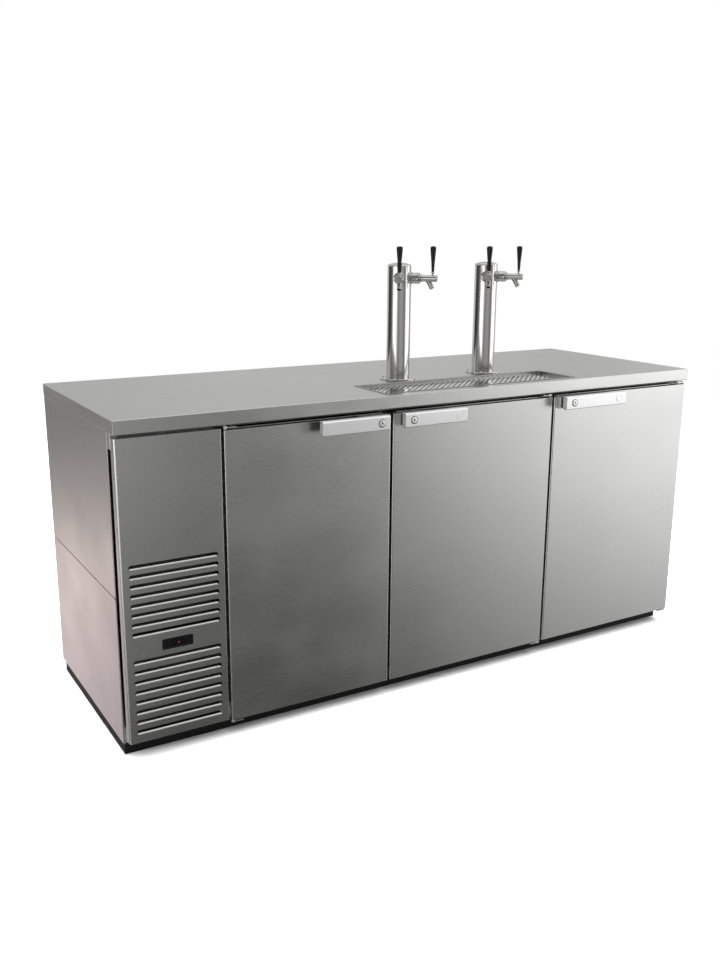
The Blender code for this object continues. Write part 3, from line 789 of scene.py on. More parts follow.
bmesh.ops.bevel(
    bm, geom=grille_bend(True), offset=0.0046, segments=8, profile=0.31, affect="EDGES"
)
bmesh.ops.bevel(
    bm, geom=grille_bend(False), offset=0.0016, segments=3, profile=0.5, affect="EDGES"
)
sheet = 0.0015
hollow = bmesh.new()
prism(
    hollow,
    [(gx0 + sheet, 0.0060), (gx0 + 0.0060, sheet)]
    + [(gx1 - sheet, sheet), (gx1 - sheet, 0.10), (gx0 + sheet, 0.10)],
    "z",
    gz0 + sheet,
    gz1 - sheet,
)
cuts = [
    hollow,
    cutter_box((-0.05, 0.026, 0.0), (0.0060, 0.10, 1.0)),
    cutter_box((-0.05, 0.026, 0.0), (gx1 + 0.05, 0.10, 0.0900)),
]
slot_z = []
for top, bottom in ((0.5442, 0.3602), (0.2833, 0.0863)):
    slot_z += [top + (bottom - top) * k / 7 for k in range(8)]
for z in slot_z:
    hole = bmesh.new()
    prism(
        hole,
        rounded_outline(
            SLOT_X0, z - SLOT_H / 2, SLOT_X1, z + SLOT_H / 2, SLOT_H * 0.42, 5
        ),
        "y",
        -0.01,
        0.01,
    )
    cuts.append(hole)
even(
    finish(
        "grille_sheet",
        carved(bm, cuts),
        GRILLE_STEEL,
        "cabinet",
        ("machine_grille",),
    )
)

# each slot's lower edge is drawn inwards as a rounded lip
bm = bmesh.new()
LIP_H, LIP_IN, LIP_END = 0.0050, 0.0016, 0.0044
for z in slot_z:
    x0, x1 = SLOT_X0 + LIP_IN, SLOT_X1 - LIP_IN
    base = z - SLOT_H / 2 - 0.0004
    steps = [LIP_END * (1 - math.cos(math.pi / 2 * k / 5)) for k in range(6)]
    xs = [x0 + s for s in steps] + [x1 - s for s in reversed(steps)]
    grid = []
    for x in xs:
        d = min(x - x0, x1 - x, LIP_END)
        s = math.sqrt(max(0.0, 1 - (1 - d / LIP_END) ** 2))
        s = max(s, 0.03)
        row = []
        for k in range(9):
            t = math.radians(-8 + 108 * k / 8)
            row.append(
                (
                    x,
                    0.0002 + LIP_H * (1 - s) * 0.3 + LIP_H * s * (1 - math.cos(t)),
                    base + (LIP_H + 0.0004) * s * max(math.sin(t), -0.05),
                )
            )
        for k in range(8, -1, -1):
            t = math.radians(-8 + 108 * k / 8)
            inner = LIP_H - 0.0011
            row.append(
                (
                    x,
                    0.0002
                    + LIP_H * (1 - s) * 0.3
                    + 0.0011
                    + inner * s * (1 - math.cos(t)),
                    base + inner * s * max(math.sin(t), -0.05),
                )
            )
        grid.append(row)
    loft(bm, grid)
# the lips take the brightened lip steel, painted light
even(finish("grille_lips", bm, LIP_STEEL_LIT, "cabinet", weld=0))

# near-black screen behind the louvres: painted shade of the dark bay seen through the slots
bm = bmesh.new()
add_box(bm, (0.0150, 0.0300, 0.0700), (0.2680, 0.0308, 0.5650), 0.0)
for k in range(64):
    x = 0.0170 + k * 0.0039
    add_box(bm, (x, 0.0292, 0.0700), (x + 0.0008, 0.0300, 0.5650), 0.0)
even(finish("grille_shade_screen", bm, COIL_SHADE_DARK, "cabinet"))

# ------------------------------------------------------------------ display
bm = bmesh.new()
dx0, dx1, dz0, dz1 = 0.1005, 0.1858, 0.3052, 0.3348
outer = rounded_outline(dx0, dz0, dx1, dz1, 0.0034, 6)
centre = Vector(((dx0 + dx1) / 2, (dz0 + dz1) / 2))


def shrink(points, by):
    w, h = (dx1 - dx0) / 2, (dz1 - dz0) / 2
    return [
        (
            centre.x + (p[0] - centre.x) * (w - by) / w,
            centre.y + (p[1] - centre.y) * (h - by) / h,
        )
        for p in points
    ]


loft(
    bm,
    [
        [(p[0], -0.0003, p[1]) for p in outer],
        [(p[0], -0.0010, p[1]) for p in outer],
        [(p[0], -0.0015, p[1]) for p in shrink(outer, 0.0006)],
        [(p[0], -0.0015, p[1]) for p in shrink(outer, 0.0036)],
        [(p[0], -0.0009, p[1]) for p in shrink(outer, 0.0042)],
    ],
)
even(
    finish(
        "display_bezel",
        bm,
        BEZEL,
        "cabinet",
        ("temperature_display",),
    )
)
bm = bmesh.new()
loft(
    bm,
    [
        [(p[0], -0.00088, p[1]) for p in shrink(outer, 0.0044)],
        [(p[0], -0.00112, p[1]) for p in shrink(outer, 0.0048)],
    ],
)
even(finish("display_window", bm, WINDOW, "cabinet"))
bm = bmesh.new()
add_lathe(
    bm,
    ((0.0015, 0.0), (0.0014, 0.0002), (0.0009, 0.00034), (0.0, 0.00038)),
    20,
    along((0, -1, 0), (0.1458, -0.0011, 0.3198)),
)
finish("display_lamp", bm, LAMP, "cabinet")


# ------------------------------------------------------------------ doors
def rect_sweep(bm, x0, z0, x1, z1, profile, mat=0):
    """Sweep a closed (inset, y) profile round a rectangle with mitred corners."""
    loops = []
    for inset, y in profile:
        loops.append(
            [
                bm.verts.new((x0 + inset, y, z0 + inset)),
                bm.verts.new((x1 - inset, y, z0 + inset)),
                bm.verts.new((x1 - inset, y, z1 - inset)),
                bm.verts.new((x0 + inset, y, z1 - inset)),
            ]
        )
    for a, b in zip(loops, loops[1:] + loops[:1]):
        for i in range(4):
            j = (i + 1) % 4
            bm.faces.new((a[i], a[j], b[j], b[i])).material_index = mat


for index, (left, right, side) in enumerate(DOORS):
    tag = f"door_{index + 1}"
    hinge_x = left + 0.006 if side < 0 else right - 0.006
    pins = [
        bar(0.0042, (hinge_x, 0.009, z0), (hinge_x, 0.009, z1), 24)
        for z0, z1 in ((0.03, 0.068), (0.857, 0.90))
    ]
    bm = bmesh.new()
    upright_box(
        bm,
        (left, 0.0, DOOR_Z0),
        (right, 0.0410, DOOR_Z1),
        0.0040,
        0.0011,
        6,
        front_only=True,
    )
    bm = carved(bm, pins)
    rest = bmesh.new()
    add_box(
        rest,
        (left + 0.0030, 0.0405, DOOR_Z0 + 0.0030),
        (right - 0.0030, 0.0425, DOOR_Z1 - 0.0030),
        mat=1,
    )
    add_box(
        rest,
        (left + 0.0008, 0.0420, DOOR_Z0 + 0.0008),
        (right - 0.0008, DOOR_T, DOOR_Z1 - 0.0008),
        0.0016,
        2,
        mat=2,
    )
    add_box(
        rest,
        (left + 0.032, DOOR_T - 0.001, DOOR_Z0 + 0.032),
        (right - 0.032, DOOR_T + 0.0055, DOOR_Z1 - 0.032),
        0.0042,
        3,
        mat=2,
    )
    even(
        finish(
            f"{tag}_shell",
            merge(bm, rest),
            [DOOR_STEEL, BUSH, LINER],
            tag,
            (f"{tag}_panel",),
        )
    )
    # black channel along the door's top: painted shade where the worktop's shadow falls, with a
    # bright metal bead
    bm = bmesh.new()
    add_box(
        bm,
        (left + 0.0150, 0.0045, DOOR_Z1 - 0.0002),
        (right - 0.0150, 0.0500, DOOR_Z1 + 0.0004),
        0.0002,
        1,
    )
    add_box(
        bm,
        (left + 0.0200, 0.0190, DOOR_Z1 + 0.0002),
        (right - 0.0200, 0.0250, DOOR_Z1 + 0.0016),
        0.0004,
        2,
        mat=1,
    )
    even(finish(f"{tag}_top_channel", bm, [BEZEL, SCREW_METAL], tag))

    # bushes that the hinge pins turn in
    bm = bmesh.new()
    for z0, z1 in ((DOOR_Z0 - 0.0012, DOOR_Z0 + 0.0002), (DOOR_Z1 - 0.0002, DOOR_Z1 + 0.0012)):
        add_lathe(
            bm,
            ((0.0043, z0), (0.0056, z0), (0.0056, z1), (0.0043, z1)),
            28,
            Matrix.Translation((hinge_x, 0.009, 0)),
            closed=True,
        )
    finish(f"{tag}_bushes", bm, BUSH, tag)

    # magnetic gasket: foot, bellows, magnet tube
    bm = bmesh.new()
    y0, y1 = DOOR_T + 0.0003, DOOR_T + 0.0095
    rect_sweep(
        bm,
        left + 0.006,
        DOOR_Z0 + 0.006,
        right - 0.006,
        DOOR_Z1 - 0.006,
        (
            (0.0, y0 + 0.0008),
            (0.0006, y0 + 0.0022),
            (0.0026, y0 + 0.0030),
            (0.0022, y0 + 0.0042),
            (0.0004, y0 + 0.0052),
            (0.0002, y1 - 0.0016),
            (0.0014, y1 - 0.0003),
            (0.0040, y1),
            (0.0120, y1),
            (0.0142, y1 - 0.0004),
            (0.0150, y1 - 0.0018),
            (0.0146, y0 + 0.0050),
            (0.0128, y0 + 0.0040),
            (0.0150, y0 + 0.0028),
            (0.0168, y0 + 0.0018),
            (0.0170, y0),
            (0.0010, y0),
        ),
    )
    even(
        finish(
            f"{tag}_seal", bm, GASKET, tag, (f"{tag}_gasket",), 40
        )
    )

    # pull handle: cover, recessed neck and base block at the latch end
    h0, h1 = HANDLES[index]
    if side < 0:
        b0, b1 = h1 - 0.078, h1
    else:
        b0, b1 = h0, h0 + 0.078
    lock = (LOCK_X[index], LOCK_Z)
    bore = bar(0.0100, (lock[0], -0.0600, lock[1]), (lock[0], -0.0240, lock[1]), 48)
    bm = bmesh.new()
    cover = (
        arc(-0.050 + 0.0045, HANDLE_Z1 - 0.0045, 0.0045, 90, 180, 6)
        + arc(-0.050 + 0.0022, HANDLE_Z0 + 0.0022, 0.0022, 180, 270, 4)
        + arc(-0.0325 - 0.0012, HANDLE_Z0 + 0.0012, 0.0012, 270, 360, 3)
        + arc(-0.0325 - 0.0012, HANDLE_Z1 - 0.0012, 0.0012, 0, 90, 3)
    )
    prism(bm, cover, "x", h0, h1)
    ends = [
        e
        for e in bm.edges
        if abs(e.verts[0].co.x - e.verts[1].co.x) < 1e-6
    ]
    bmesh.ops.bevel(bm, geom=ends, offset=0.0011, segments=2, profile=0.5, affect="EDGES")
    bm = carved(bm, [bore])
    for f in bm.faces:
        if f.calc_center_median().y > -0.0330:
            f.material_index = 1
    # upright ribs on the cover's ends
    for k in range(5):
        y = -0.0462 + k * 0.0027
        for x in (h0, h1):
            add_box(
                bm,
                (x - 0.00045, y, HANDLE_Z0 + 0.0030),
                (x + 0.00045, y + 0.0010, HANDLE_Z1 - 0.0055),
            )
    neck = bmesh.new()
    add_box(
        neck, (b0 + 0.003, -0.0330, HANDLE_Z0 + 0.003), (b1 - 0.003, -0.0230, HANDLE_Z1 - 0.003)
    )
    bore = bar(0.0100, (lock[0], -0.0600, lock[1]), (lock[0], -0.0240, lock[1]), 48)
    merge(bm, carved(neck, [bore]), 1)
    block = add_box(bm, (b0, -0.0235, HANDLE_Z0), (b1, -0.0003, HANDLE_Z1 - 0.0012), 0.0)
    for f in {f for v in block for f in v.link_faces}:
        if f.calc_center_median().z > HANDLE_Z1 - 0.0020:
            f.material_index = 1
    # upright ribs of the block's faces at the latch end
    for k in range(7):
        y = -0.0222 + k * 0.0032
        for x in (b0, b1):
            add_box(
                bm,
                (x - 0.0004, y, HANDLE_Z0 + 0.0015),
                (x + 0.0004, y + 0.0014, HANDLE_Z1 - 0.0035),
            )
    # ring round the key plug in the dark ring steel, painted shade
    add_lathe(
        bm,
        (
            (0.0102, -0.0008),
            (0.0102, 0.0002),
            (0.0105, 0.0005),
            (0.0116, 0.0005),
            (0.0121, 0.0002),
            (0.0122, -0.0008),
        ),
        56,
        along((0, -1, 0), (lock[0], -0.0500, lock[1])),
        closed=True,
        mat=2,
    )
    # generic raised disc at the free end, its face bare
    ex = EMBLEM_X[index]
    add_lathe(
        bm,
        (
            (0.0135, -0.0002),
            (0.0135, 0.0004),
            (0.0130, 0.0008),
            (0.0121, 0.0008),
            (0.0116, 0.0003),
            (0.0, 0.0003),
        ),
        56,
        along((0, -1, 0), (ex, -0.0500, LOCK_Z)),
    )
    even(
        finish(
            f"{tag}_pull",
            bm,
            [PULL_METAL, PULL_BACK, LOCK_RING_SHADE],
            tag,
            (f"{tag}_handle",),
            30,
        )
    )

    # key plug: it turns in the handle
    bm = bmesh.new()
    add_lathe(
        bm,
        (
            (0.0092, 0.0),
            (0.0092, 0.0264),
            (0.0088, 0.0271),
            (0.0078, 0.0275),
            (0.0070, 0.0275),
            (0.0066, 0.0269),
            (0.0001, 0.0269),
            (0.0, 0.0269),
        ),
        56,
        along((0, -1, 0), (lock[0], -0.0240, lock[1])),
    )
    key = cutter_box(
        (lock[0] - 0.0013, -0.0600, lock[1] - 0.0042),
        (lock[0] + 0.0013, -0.0400, lock[1] + 0.0042),
    )
    pit = bar(0.0024, (lock[0], -0.0600, lock[1] + 0.0006), (lock[0], -0.0410, lock[1] + 0.0006), 20)
    plug = carved(bm, [key, pit])
    # faces inside the keyhole slot and pit get painted shade
    for f in plug.faces:
        c = f.calc_center_median()
        if c.y > -0.0506 and math.hypot(c.x - lock[0], c.z - lock[1]) < 0.0055 and c.y < -0.0250:
            f.material_index = 1
    even(
        finish(
            f"{tag}_key_plug",
            plug,
            [LOCK_METAL, BORE_PAINTED_SHADE],
            f"lock_{index + 1}",
            (f"{tag}_lock",),
            28,
        )
    )

# ------------------------------------------------------------------ hinge rails
HINGE_X = [
    (left + 0.006) if side < 0 else (right - 0.006) for left, right, side in DOORS
]
for name, strip, tab_z, pin_z, up in (
    (
        "top",
        ((0.2905, 0.0380, 0.8765), (1.9995, 0.0617, 0.8840)),
        (0.8770, 0.8830),
        (0.8600, 0.8800),
        1,
    ),
    (
        "bottom",
        ((0.2905, 0.0520, 0.0400), (1.9995, 0.0617, 0.0475)),
        (0.0425, 0.0480),
        (0.0450, 0.0650),
        -1,
    ),
):
    # the rail strip takes the darkened rail steel, painted shade
    bm = bmesh.new()
    add_box(bm, *strip, 0.0007, 1)
    even(
        finish(
            f"hinge_rail_{name}_strip",
            bm,
            RAIL_STEEL_SHADED,
            "cabinet",
            (f"hinge_rail_{name}",),
        )
    )
    bm = bmesh.new()
    for index, x in enumerate(HINGE_X):
        side = DOORS[index][2]
        x0, x1 = sorted((x + side * 0.0055, x - side * 0.030))
        middle = (tab_z[0] + tab_z[1]) / 2
        lift = 0.0026
        # folded plate with a rolled knuckle at the pin
        add_box(
            bm, (x0, 0.0030, middle - lift / 2), (x1, 0.0577, middle + lift / 2), 0.0006, 2
        )
        add_lathe(
            bm,
            (
                (0.0034, pin_z[0]),
                (0.0034, pin_z[1] - 0.0008),
                (0.0029, pin_z[1] - 0.0002),
                (0.0, pin_z[1]),
            )
            if up > 0
            else (
                (0.0, pin_z[0]),
                (0.0029, pin_z[0] + 0.0002),
                (0.0034, pin_z[0] + 0.0008),
                (0.0034, pin_z[1]),
            ),
            28,
            Matrix.Translation((x, 0.009, 0)),
        )
        add_lathe(
            bm,
            (
                (0.0036, tab_z[0]),
                (0.0058, tab_z[0]),
                (0.0060, tab_z[0] + 0.0006),
                (0.0060, tab_z[1] - 0.0006),
                (0.0058, tab_z[1]),
                (0.0036, tab_z[1]),
            ),
            32,
            Matrix.Translation((x, 0.009, 0)),
            closed=True,
        )
        # web from knuckle to plate
        add_box(
            bm,
            (x - 0.0050, 0.0130, middle - lift / 2 - 0.0003),
            (x + 0.0050, 0.0190, middle + lift / 2 + 0.0003),
            0.0004,
            1,
        )
        for offset in (0.0085, 0.0235):
            screw_head(
                bm,
                (x - side * offset, 0.0290, middle + up * lift / 2),
                (0, 0, up),
                0.0034,
                0.0016,
            )
    even(
        finish(
            f"hinge_{name}_brackets", bm, SCREW_METAL, "cabinet"
        )
    )

# ------------------------------------------------------------------ drip tray and grid
tx0, ty0, tx1, ty1 = TRAY
TRAY_C = ((tx0 + tx1) / 2, (ty0 + ty1) / 2)
bm = bmesh.new()
rim = rounded_outline(tx0, ty0, tx1, ty1, 0.0040, 5)


def inset(points, by):
    w, h = (tx1 - tx0) / 2, (ty1 - ty0) / 2
    return [
        (
            TRAY_C[0] + (p[0] - TRAY_C[0]) * (w - by) / w,
            TRAY_C[1] + (p[1] - TRAY_C[1]) * (h - by) / h,
        )
        for p in points
    ]


def well_outline(by, radius):
    return rounded_outline(tx0 + by, ty0 + by, tx1 - by, ty1 - by, radius, 6)


# the pan is one sheet: rim, rolled shoulder, wall, floor, and back up outside
rings = [
    (well_outline(0.0000, 0.0040), 0.9253),
    (well_outline(0.0001, 0.0040), 0.9260),
    (well_outline(0.0005, 0.0040), 0.9263),
    (well_outline(0.0066, 0.0060), 0.9263),
    (well_outline(0.0076, 0.0060), 0.9260),
    (well_outline(0.0083, 0.0060), 0.9250),
    (well_outline(0.0083, 0.0060), 0.8965),
    (well_outline(0.0091, 0.0068), 0.8945),
    (well_outline(0.0112, 0.0080), 0.8935),
]
inner = rings
outer_rings = [
    (well_outline(0.0112, 0.0080), 0.8920),
    (well_outline(0.0080, 0.0074), 0.8928),
    (well_outline(0.0068, 0.0064), 0.8950),
    (well_outline(0.0068, 0.0060), 0.9253),
]
loops = [[bm.verts.new((p[0], p[1], z)) for p in ring] for ring, z in rings]
count = len(loops[0])
for low, high in zip(loops, loops[1:]):
    for i in range(count):
        j = (i + 1) % count
        bm.faces.new((low[i], low[j], high[j], high[i]))
floor_loop = loops[-1]
outer_loops = [[bm.verts.new((p[0], p[1], z)) for p in ring] for ring, z in outer_rings]
for low, high in zip(outer_loops, outer_loops[1:]):
    for i in range(count):
        j = (i + 1) % count
        bm.faces.new((low[i], low[j], high[j], high[i]))
for i in range(count):
    j = (i + 1) % count
    bm.faces.new((outer_loops[-1][i], outer_loops[-1][j], loops[0][j], loops[0][i]))
bm.faces.new(floor_loop)
bm.faces.new(list(reversed(outer_loops[0])))
drain_hole = bar(0.0105, (*TRAY_C, 0.85), (*TRAY_C, 0.91), 40)
bm = carved(bm, [drain_hole])
add_lathe(
    bm,
    (
        (0.0095, 0.8470),
        (0.0120, 0.8470),
        (0.0120, 0.8920),
        (0.0150, 0.8936),
        (0.0150, 0.8942),
        (0.0105, 0.8940),
        (0.0095, 0.8930),
    ),
    40,
    Matrix.Translation((*TRAY_C, 0)),
    closed=True,
)
even(
    finish("tray_pan", bm, PAN_STEEL, "cabinet", ("drip_pan",), 34)
)

# dark bead between the tray's rim and the worktop: painted shadow of the gap round the tray
bm = bmesh.new()
bead = [
    [bm.verts.new((p[0], p[1], z)) for p in well_outline(by, 0.0046)]
    for by, z in ((-0.0016, 0.9251), (-0.0013, 0.9257), (-0.0001, 0.9259), (-0.0001, 0.9251))
]
for low, high in zip(bead, bead[1:] + bead[:1]):
    for i in range(len(low)):
        j = (i + 1) % len(low)
        bm.faces.new((low[i], low[j], high[j], high[i]))
even(finish("tray_shadow_bead", bm, FAN_BLACK, "cabinet"))

# perforated plate: staggered round holes on a diagonal lattice, folded long edges
bm = bmesh.new()
px0, py0, px1, py1 = 0.8093, 0.0453, 1.5147, 0.2017
HALF = 0.0101
COLS, ROWS, HOLE_R = 34, 13, 0.0050
ox = (px0 + px1) / 2 - (COLS - 1) * HALF
oy = (py0 + py1) / 2 - (ROWS - 1) * HALF / 2
GRID_Z = 0.9170
points = {}


def spot(x, y):
    key = (round(x * 1e6), round(y * 1e6))
    if key not in points:
        points[key] = bm.verts.new((x, y, GRID_Z))
    return points[key]


for j in range(ROWS):
    for i in range(COLS if j % 2 == 0 else COLS - 1):
        cx = ox + i * 2 * HALF + (HALF if j % 2 else 0.0)
        cy = oy + j * HALF
        corner = [
            spot(cx + HALF * math.cos(math.pi / 2 * q), cy + HALF * math.sin(math.pi / 2 * q))
            for q in range(4)
        ]
        ring = [
            bm.verts.new(
                (
                    cx + HOLE_R * math.cos(math.pi / 8 * k),
                    cy + HOLE_R * math.sin(math.pi / 8 * k),
                    GRID_Z,
                )
            )
            for k in range(16)
        ]
        for q in range(4):
            arc_points = [ring[(q * 4 + k) % 16] for k in range(5)]
            bm.faces.new([corner[q], corner[(q + 1) % 4], *reversed(arc_points)])
for j in (0, ROWS - 1):
    away = -HALF if j == 0 else HALF
    for i in range(COLS - 1):
        cx, cy = ox + i * 2 * HALF, oy + j * HALF
        tri = [
            spot(cx, cy + away),
            spot(cx + 2 * HALF, cy + away),
            spot(cx + HALF, cy),
        ]
        bm.faces.new(tri if j == 0 else list(reversed(tri)))
for j in range(0, ROWS - 2, 2):
    cy = oy + j * HALF
    for cx, away in ((ox, -HALF), (ox + (COLS - 1) * 2 * HALF, HALF)):
        tri = [
            spot(cx + away, cy),
            spot(cx + away, cy + 2 * HALF),
            spot(cx, cy + HALF),
        ]
        bm.faces.new(list(reversed(tri)) if away < 0 else tri)
bx0, bx1 = ox - HALF, ox + (COLS - 1) * 2 * HALF + HALF
by0, by1 = oy - HALF, oy + (ROWS - 1) * HALF + HALF
for cx, sx in ((bx0, 1), (bx1, -1)):
    for cy, sy in ((by0, 1), (by1, -1)):
        tri = [spot(cx, cy), spot(cx + sx * HALF, cy), spot(cx, cy + sy * HALF)]
        bm.faces.new(tri if sx * sy > 0 else list(reversed(tri)))
rim_xs = [bx0] + [ox + i * 2 * HALF for i in range(COLS)] + [bx1]
rim_ys = [by0] + [oy + j * HALF for j in range(0, ROWS, 2)] + [by1]
corners = [spot(px0, py0), spot(px1, py0), spot(px1, py1), spot(px0, py1)]
low = [spot(x, by0) for x in rim_xs]
high = [spot(x, by1) for x in rim_xs]
west = [spot(bx0, y) for y in rim_ys]
east = [spot(bx1, y) for y in rim_ys]
bm.faces.new([corners[0], corners[1], *reversed(low)])
bm.faces.new([corners[1], corners[2], *reversed(east)])
bm.faces.new([corners[2], corners[3], *high])
bm.faces.new([corners[3], corners[0], *west])
bmesh.ops.recalc_face_normals(bm, faces=bm.faces)
grown = bmesh.ops.extrude_face_region(bm, geom=list(bm.faces))
bmesh.ops.translate(
    bm,
    vec=(0, 0, -0.0012),
    verts=[g for g in grown["geom"] if isinstance(g, bmesh.types.BMVert)],
)
for y0, y1 in ((0.0563, 0.0583), (0.1887, 0.1907)):
    add_box(bm, (px0 + 0.009, y0, 0.8938), (px1 - 0.009, y1, GRID_Z - 0.0013), 0.0004, 1)
even(
    finish(
        "drip_grid_plate",
        bm,
        GRID_STEEL,
        "drip_grid_insert",
        ("drip_grid",),
        30,
        weld=0,
    )
)

# ------------------------------------------------------------------ towers
tap_number = 0
for side_name, tower_x in TOWERS:
    place = Matrix.Translation((tower_x, TOWER_Y, 0.0))
    bm = bmesh.new()
    add_lathe(
        bm,
        (
            (0.0300, 0.9253),
            (0.0560, 0.9253),
            (0.0560, 0.9290),
            (0.0557, 0.9299),
            (0.0550, 0.9305),
            (0.0540, 0.9308),
            (0.0300, 0.9308),
        ),
        96,
        place,
        closed=True,
    )
    for k in range(4):
        turn = math.radians(45 + 90 * k)
        screw_head(
            bm,
            (
                tower_x + 0.0472 * math.cos(turn),
                TOWER_Y + 0.0472 * math.sin(turn),
                0.9308,
            ),
            (0, 0, 1),
            0.0046,
            0.0027,
        )
    even(
        finish(
            f"tower_{side_name}_foot_ring",
            bm,
            TUBE_STEEL,
            "cabinet",
            (f"tower_{side_name}_flange",),
            30,
        )
    )

    bm = bmesh.new()
    add_lathe(
        bm,
        (
            (0.0340, 0.9311),
            (COLUMN_R - 0.0002, 0.9311),
            (COLUMN_R, 0.9313),
            (COLUMN_R, COLUMN_TOP - 0.0003),
            (COLUMN_R - 0.0002, COLUMN_TOP),
            (0.0340, COLUMN_TOP),
        ),
        128,
        closed=True,
    )
    cuts = []
    for turn in TAP_TURNS:
        out = Matrix.Rotation(math.radians(turn), 3, "Z") @ Vector((0, -1, 0))
        at = Vector((0, 0, TAP_Z))
        cuts.append(bar(0.0118, at + out * 0.020, at + out * 0.060, 32))
    even(
        finish(
            f"tower_{side_name}_tube",
            carved(bm, cuts),
            TUBE_STEEL,
            "cabinet",
            (f"tower_{side_name}_column",),
            30,
            moved=place,
        )
    )

    bm = bmesh.new()
    add_lathe(
        bm,
        (
            (0.0, 1.2620),
            (0.0335, 1.2620),
            (0.0335, COLUMN_TOP + 0.0003),
            (COLUMN_R, COLUMN_TOP + 0.0003),
            (COLUMN_R, COLUMN_TOP + 0.0012),
            (COLUMN_R, COLUMN_TOP + 0.0030),
            (COLUMN_R - 0.0004, COLUMN_TOP + 0.0040),
            (COLUMN_R - 0.0013, COLUMN_TOP + 0.0051),
            (COLUMN_R - 0.0028, COLUMN_TOP + 0.0061),
            (COLUMN_R - 0.0055, COLUMN_TOP + 0.0073),
            (COLUMN_R - 0.0095, COLUMN_TOP + 0.0087),
            (COLUMN_R - 0.0150, COLUMN_TOP + 0.0101),
            (COLUMN_R - 0.0215, COLUMN_TOP + 0.0112),
            (COLUMN_R - 0.0285, COLUMN_TOP + 0.0119),
            (0.0, COLUMN_TOP + 0.0122),
        ),
        128,
        place,
    )
    finish(
        f"tower_{side_name}_dome",
        bm,
        TUBE_STEEL,
        "cabinet",
        (f"tower_{side_name}_cap",),
        30,
    )
    repaint(f"tower_{side_name}_beer_lines", FOAM)

    for turn in TAP_TURNS:
        tap_number += 1
        tag = f"tap_{tap_number}"
        spin = Matrix.Rotation(math.radians(turn), 4, "Z")
        at = Matrix.Translation((tower_x, TOWER_Y, TAP_Z)) @ spin
        out = Vector((0, -1, 0))

        # saddle, shank tube, coupling nut with its spanner notches, lock ring
        bm = bmesh.new()
        add_lathe(
            bm,
            (
                (0.0, 0.0235),
                (0.0108, 0.0235),
                (0.0108, 0.0300),
                (0.0185, 0.0300),
                (0.0185, 0.0384),
                (0.0182, 0.0393),
                (0.0173, 0.0399),
                (0.0152, 0.0402),
                (0.0140, 0.0405),
                (0.0138, 0.0412),
                (0.0149, 0.0417),
                (0.0159, 0.0425),
                (0.0165, 0.0440),
                (0.0165, 0.0515),
                (0.0161, 0.0521),
                (0.0161, 0.0528),
                (0.0165, 0.0534),
                (0.0165, 0.0629),
                (0.0162, 0.0635),
                (0.0154, 0.0639),
                (0.0118, 0.0640),
                (0.0124, 0.0646),
                (0.0128, 0.0657),
                (0.0128, 0.0683),
                (0.0124, 0.0694),
                (0.0116, 0.0700),
                (0.0, 0.0700),
            ),
            64,
            along(out),
        )
        cuts = []
        notch_count = 12
        for k in range(notch_count):
            around = 2 * math.pi * (k + 0.5) / notch_count
            rim_dir = Vector((math.cos(around), 0, math.sin(around)))
            cuts.append(
                bar(
                    0.0015,
                    rim_dir * 0.0152 + out * 0.0584,
                    rim_dir * 0.0200 + out * 0.0584,
                    12,
                )
            )
        saddle = bar(COLUMN_R + 0.0003, (0, 0, -0.05), (0, 0, 0.05), 128)
        tube = bar(0.0106, out * 0.0236, out * 0.0420, 48)
        shaped = carved(bm, [saddle, *cuts])
        merge(shaped, tube)
        even(
            finish(
                f"{tag}_coupling",
                shaped,
                TAP_STEEL,
                "cabinet",
                (f"{tag}_shank",),
                34,
                moved=at,
            )
        )

        # barrel with its spout and the slot that the lever stands in
        tilt = math.radians(29.0)
        spout_dir = Vector((0, -math.sin(tilt), -math.cos(tilt)))
        root = out * 0.0882
        bm = bmesh.new()
        add_lathe(
            bm,
            (
                (0.0, 0.0703),
                (0.0098, 0.0703),
                (0.0102, 0.0709),
                (0.0102, 0.0764),
                (0.0099, 0.0770),
                (0.0099, 0.1128),
                (0.0102, 0.1134),
                (0.0102, 0.1174),
                (0.0099, 0.1182),
                (0.0093, 0.1188),
                (0.0088, 0.1190),
                (0.0085, 0.1188),
                (0.0, 0.1188),
            ),
            48,
            along(out),
        )
        slot = cutter_box((-0.0043, -0.1158, -0.0010), (0.0043, -0.1012, 0.0200))
        bore = bar(0.0063, root + spout_dir * 0.0170, root + spout_dir * 0.0430, 32)
        shaped = carved(bm, [slot])
        spout = bmesh.new()
        add_lathe(
            spout,
            (
                (0.0, 0.0020),
                (0.0080, 0.0040),
                (0.0080, 0.0090),
                (0.0076, 0.0128),
                (0.0073, 0.0165),
                (0.0072, 0.0315),
                (0.0073, 0.0332),
                (0.0071, 0.0345),
                (0.0067, 0.0348),
                (0.0, 0.0348),
            ),
            40,
            along(spout_dir, root),
        )
        spout = carved(spout, [bore])
        # faces inside the bore get painted shade
        for f in spout.faces:
            reach = f.calc_center_median() - root
            level = reach.dot(spout_dir)
            if (reach - spout_dir * level).length < 0.00635 and 0.016 < level < 0.0346:
                f.material_index = 1
            else:
                f.material_index = 2
        # the spout's outside carries the darkened spout steel, painted shade
        merge(shaped, spout)
        even(
            finish(
                f"{tag}_faucet",
                shaped,
                [TAP_STEEL, BORE_PAINTED_SHADE, SPOUT_STEEL_SHADED],
                "cabinet",
                (f"{tag}_body",),
                34,
                moved=at,
            )
        )

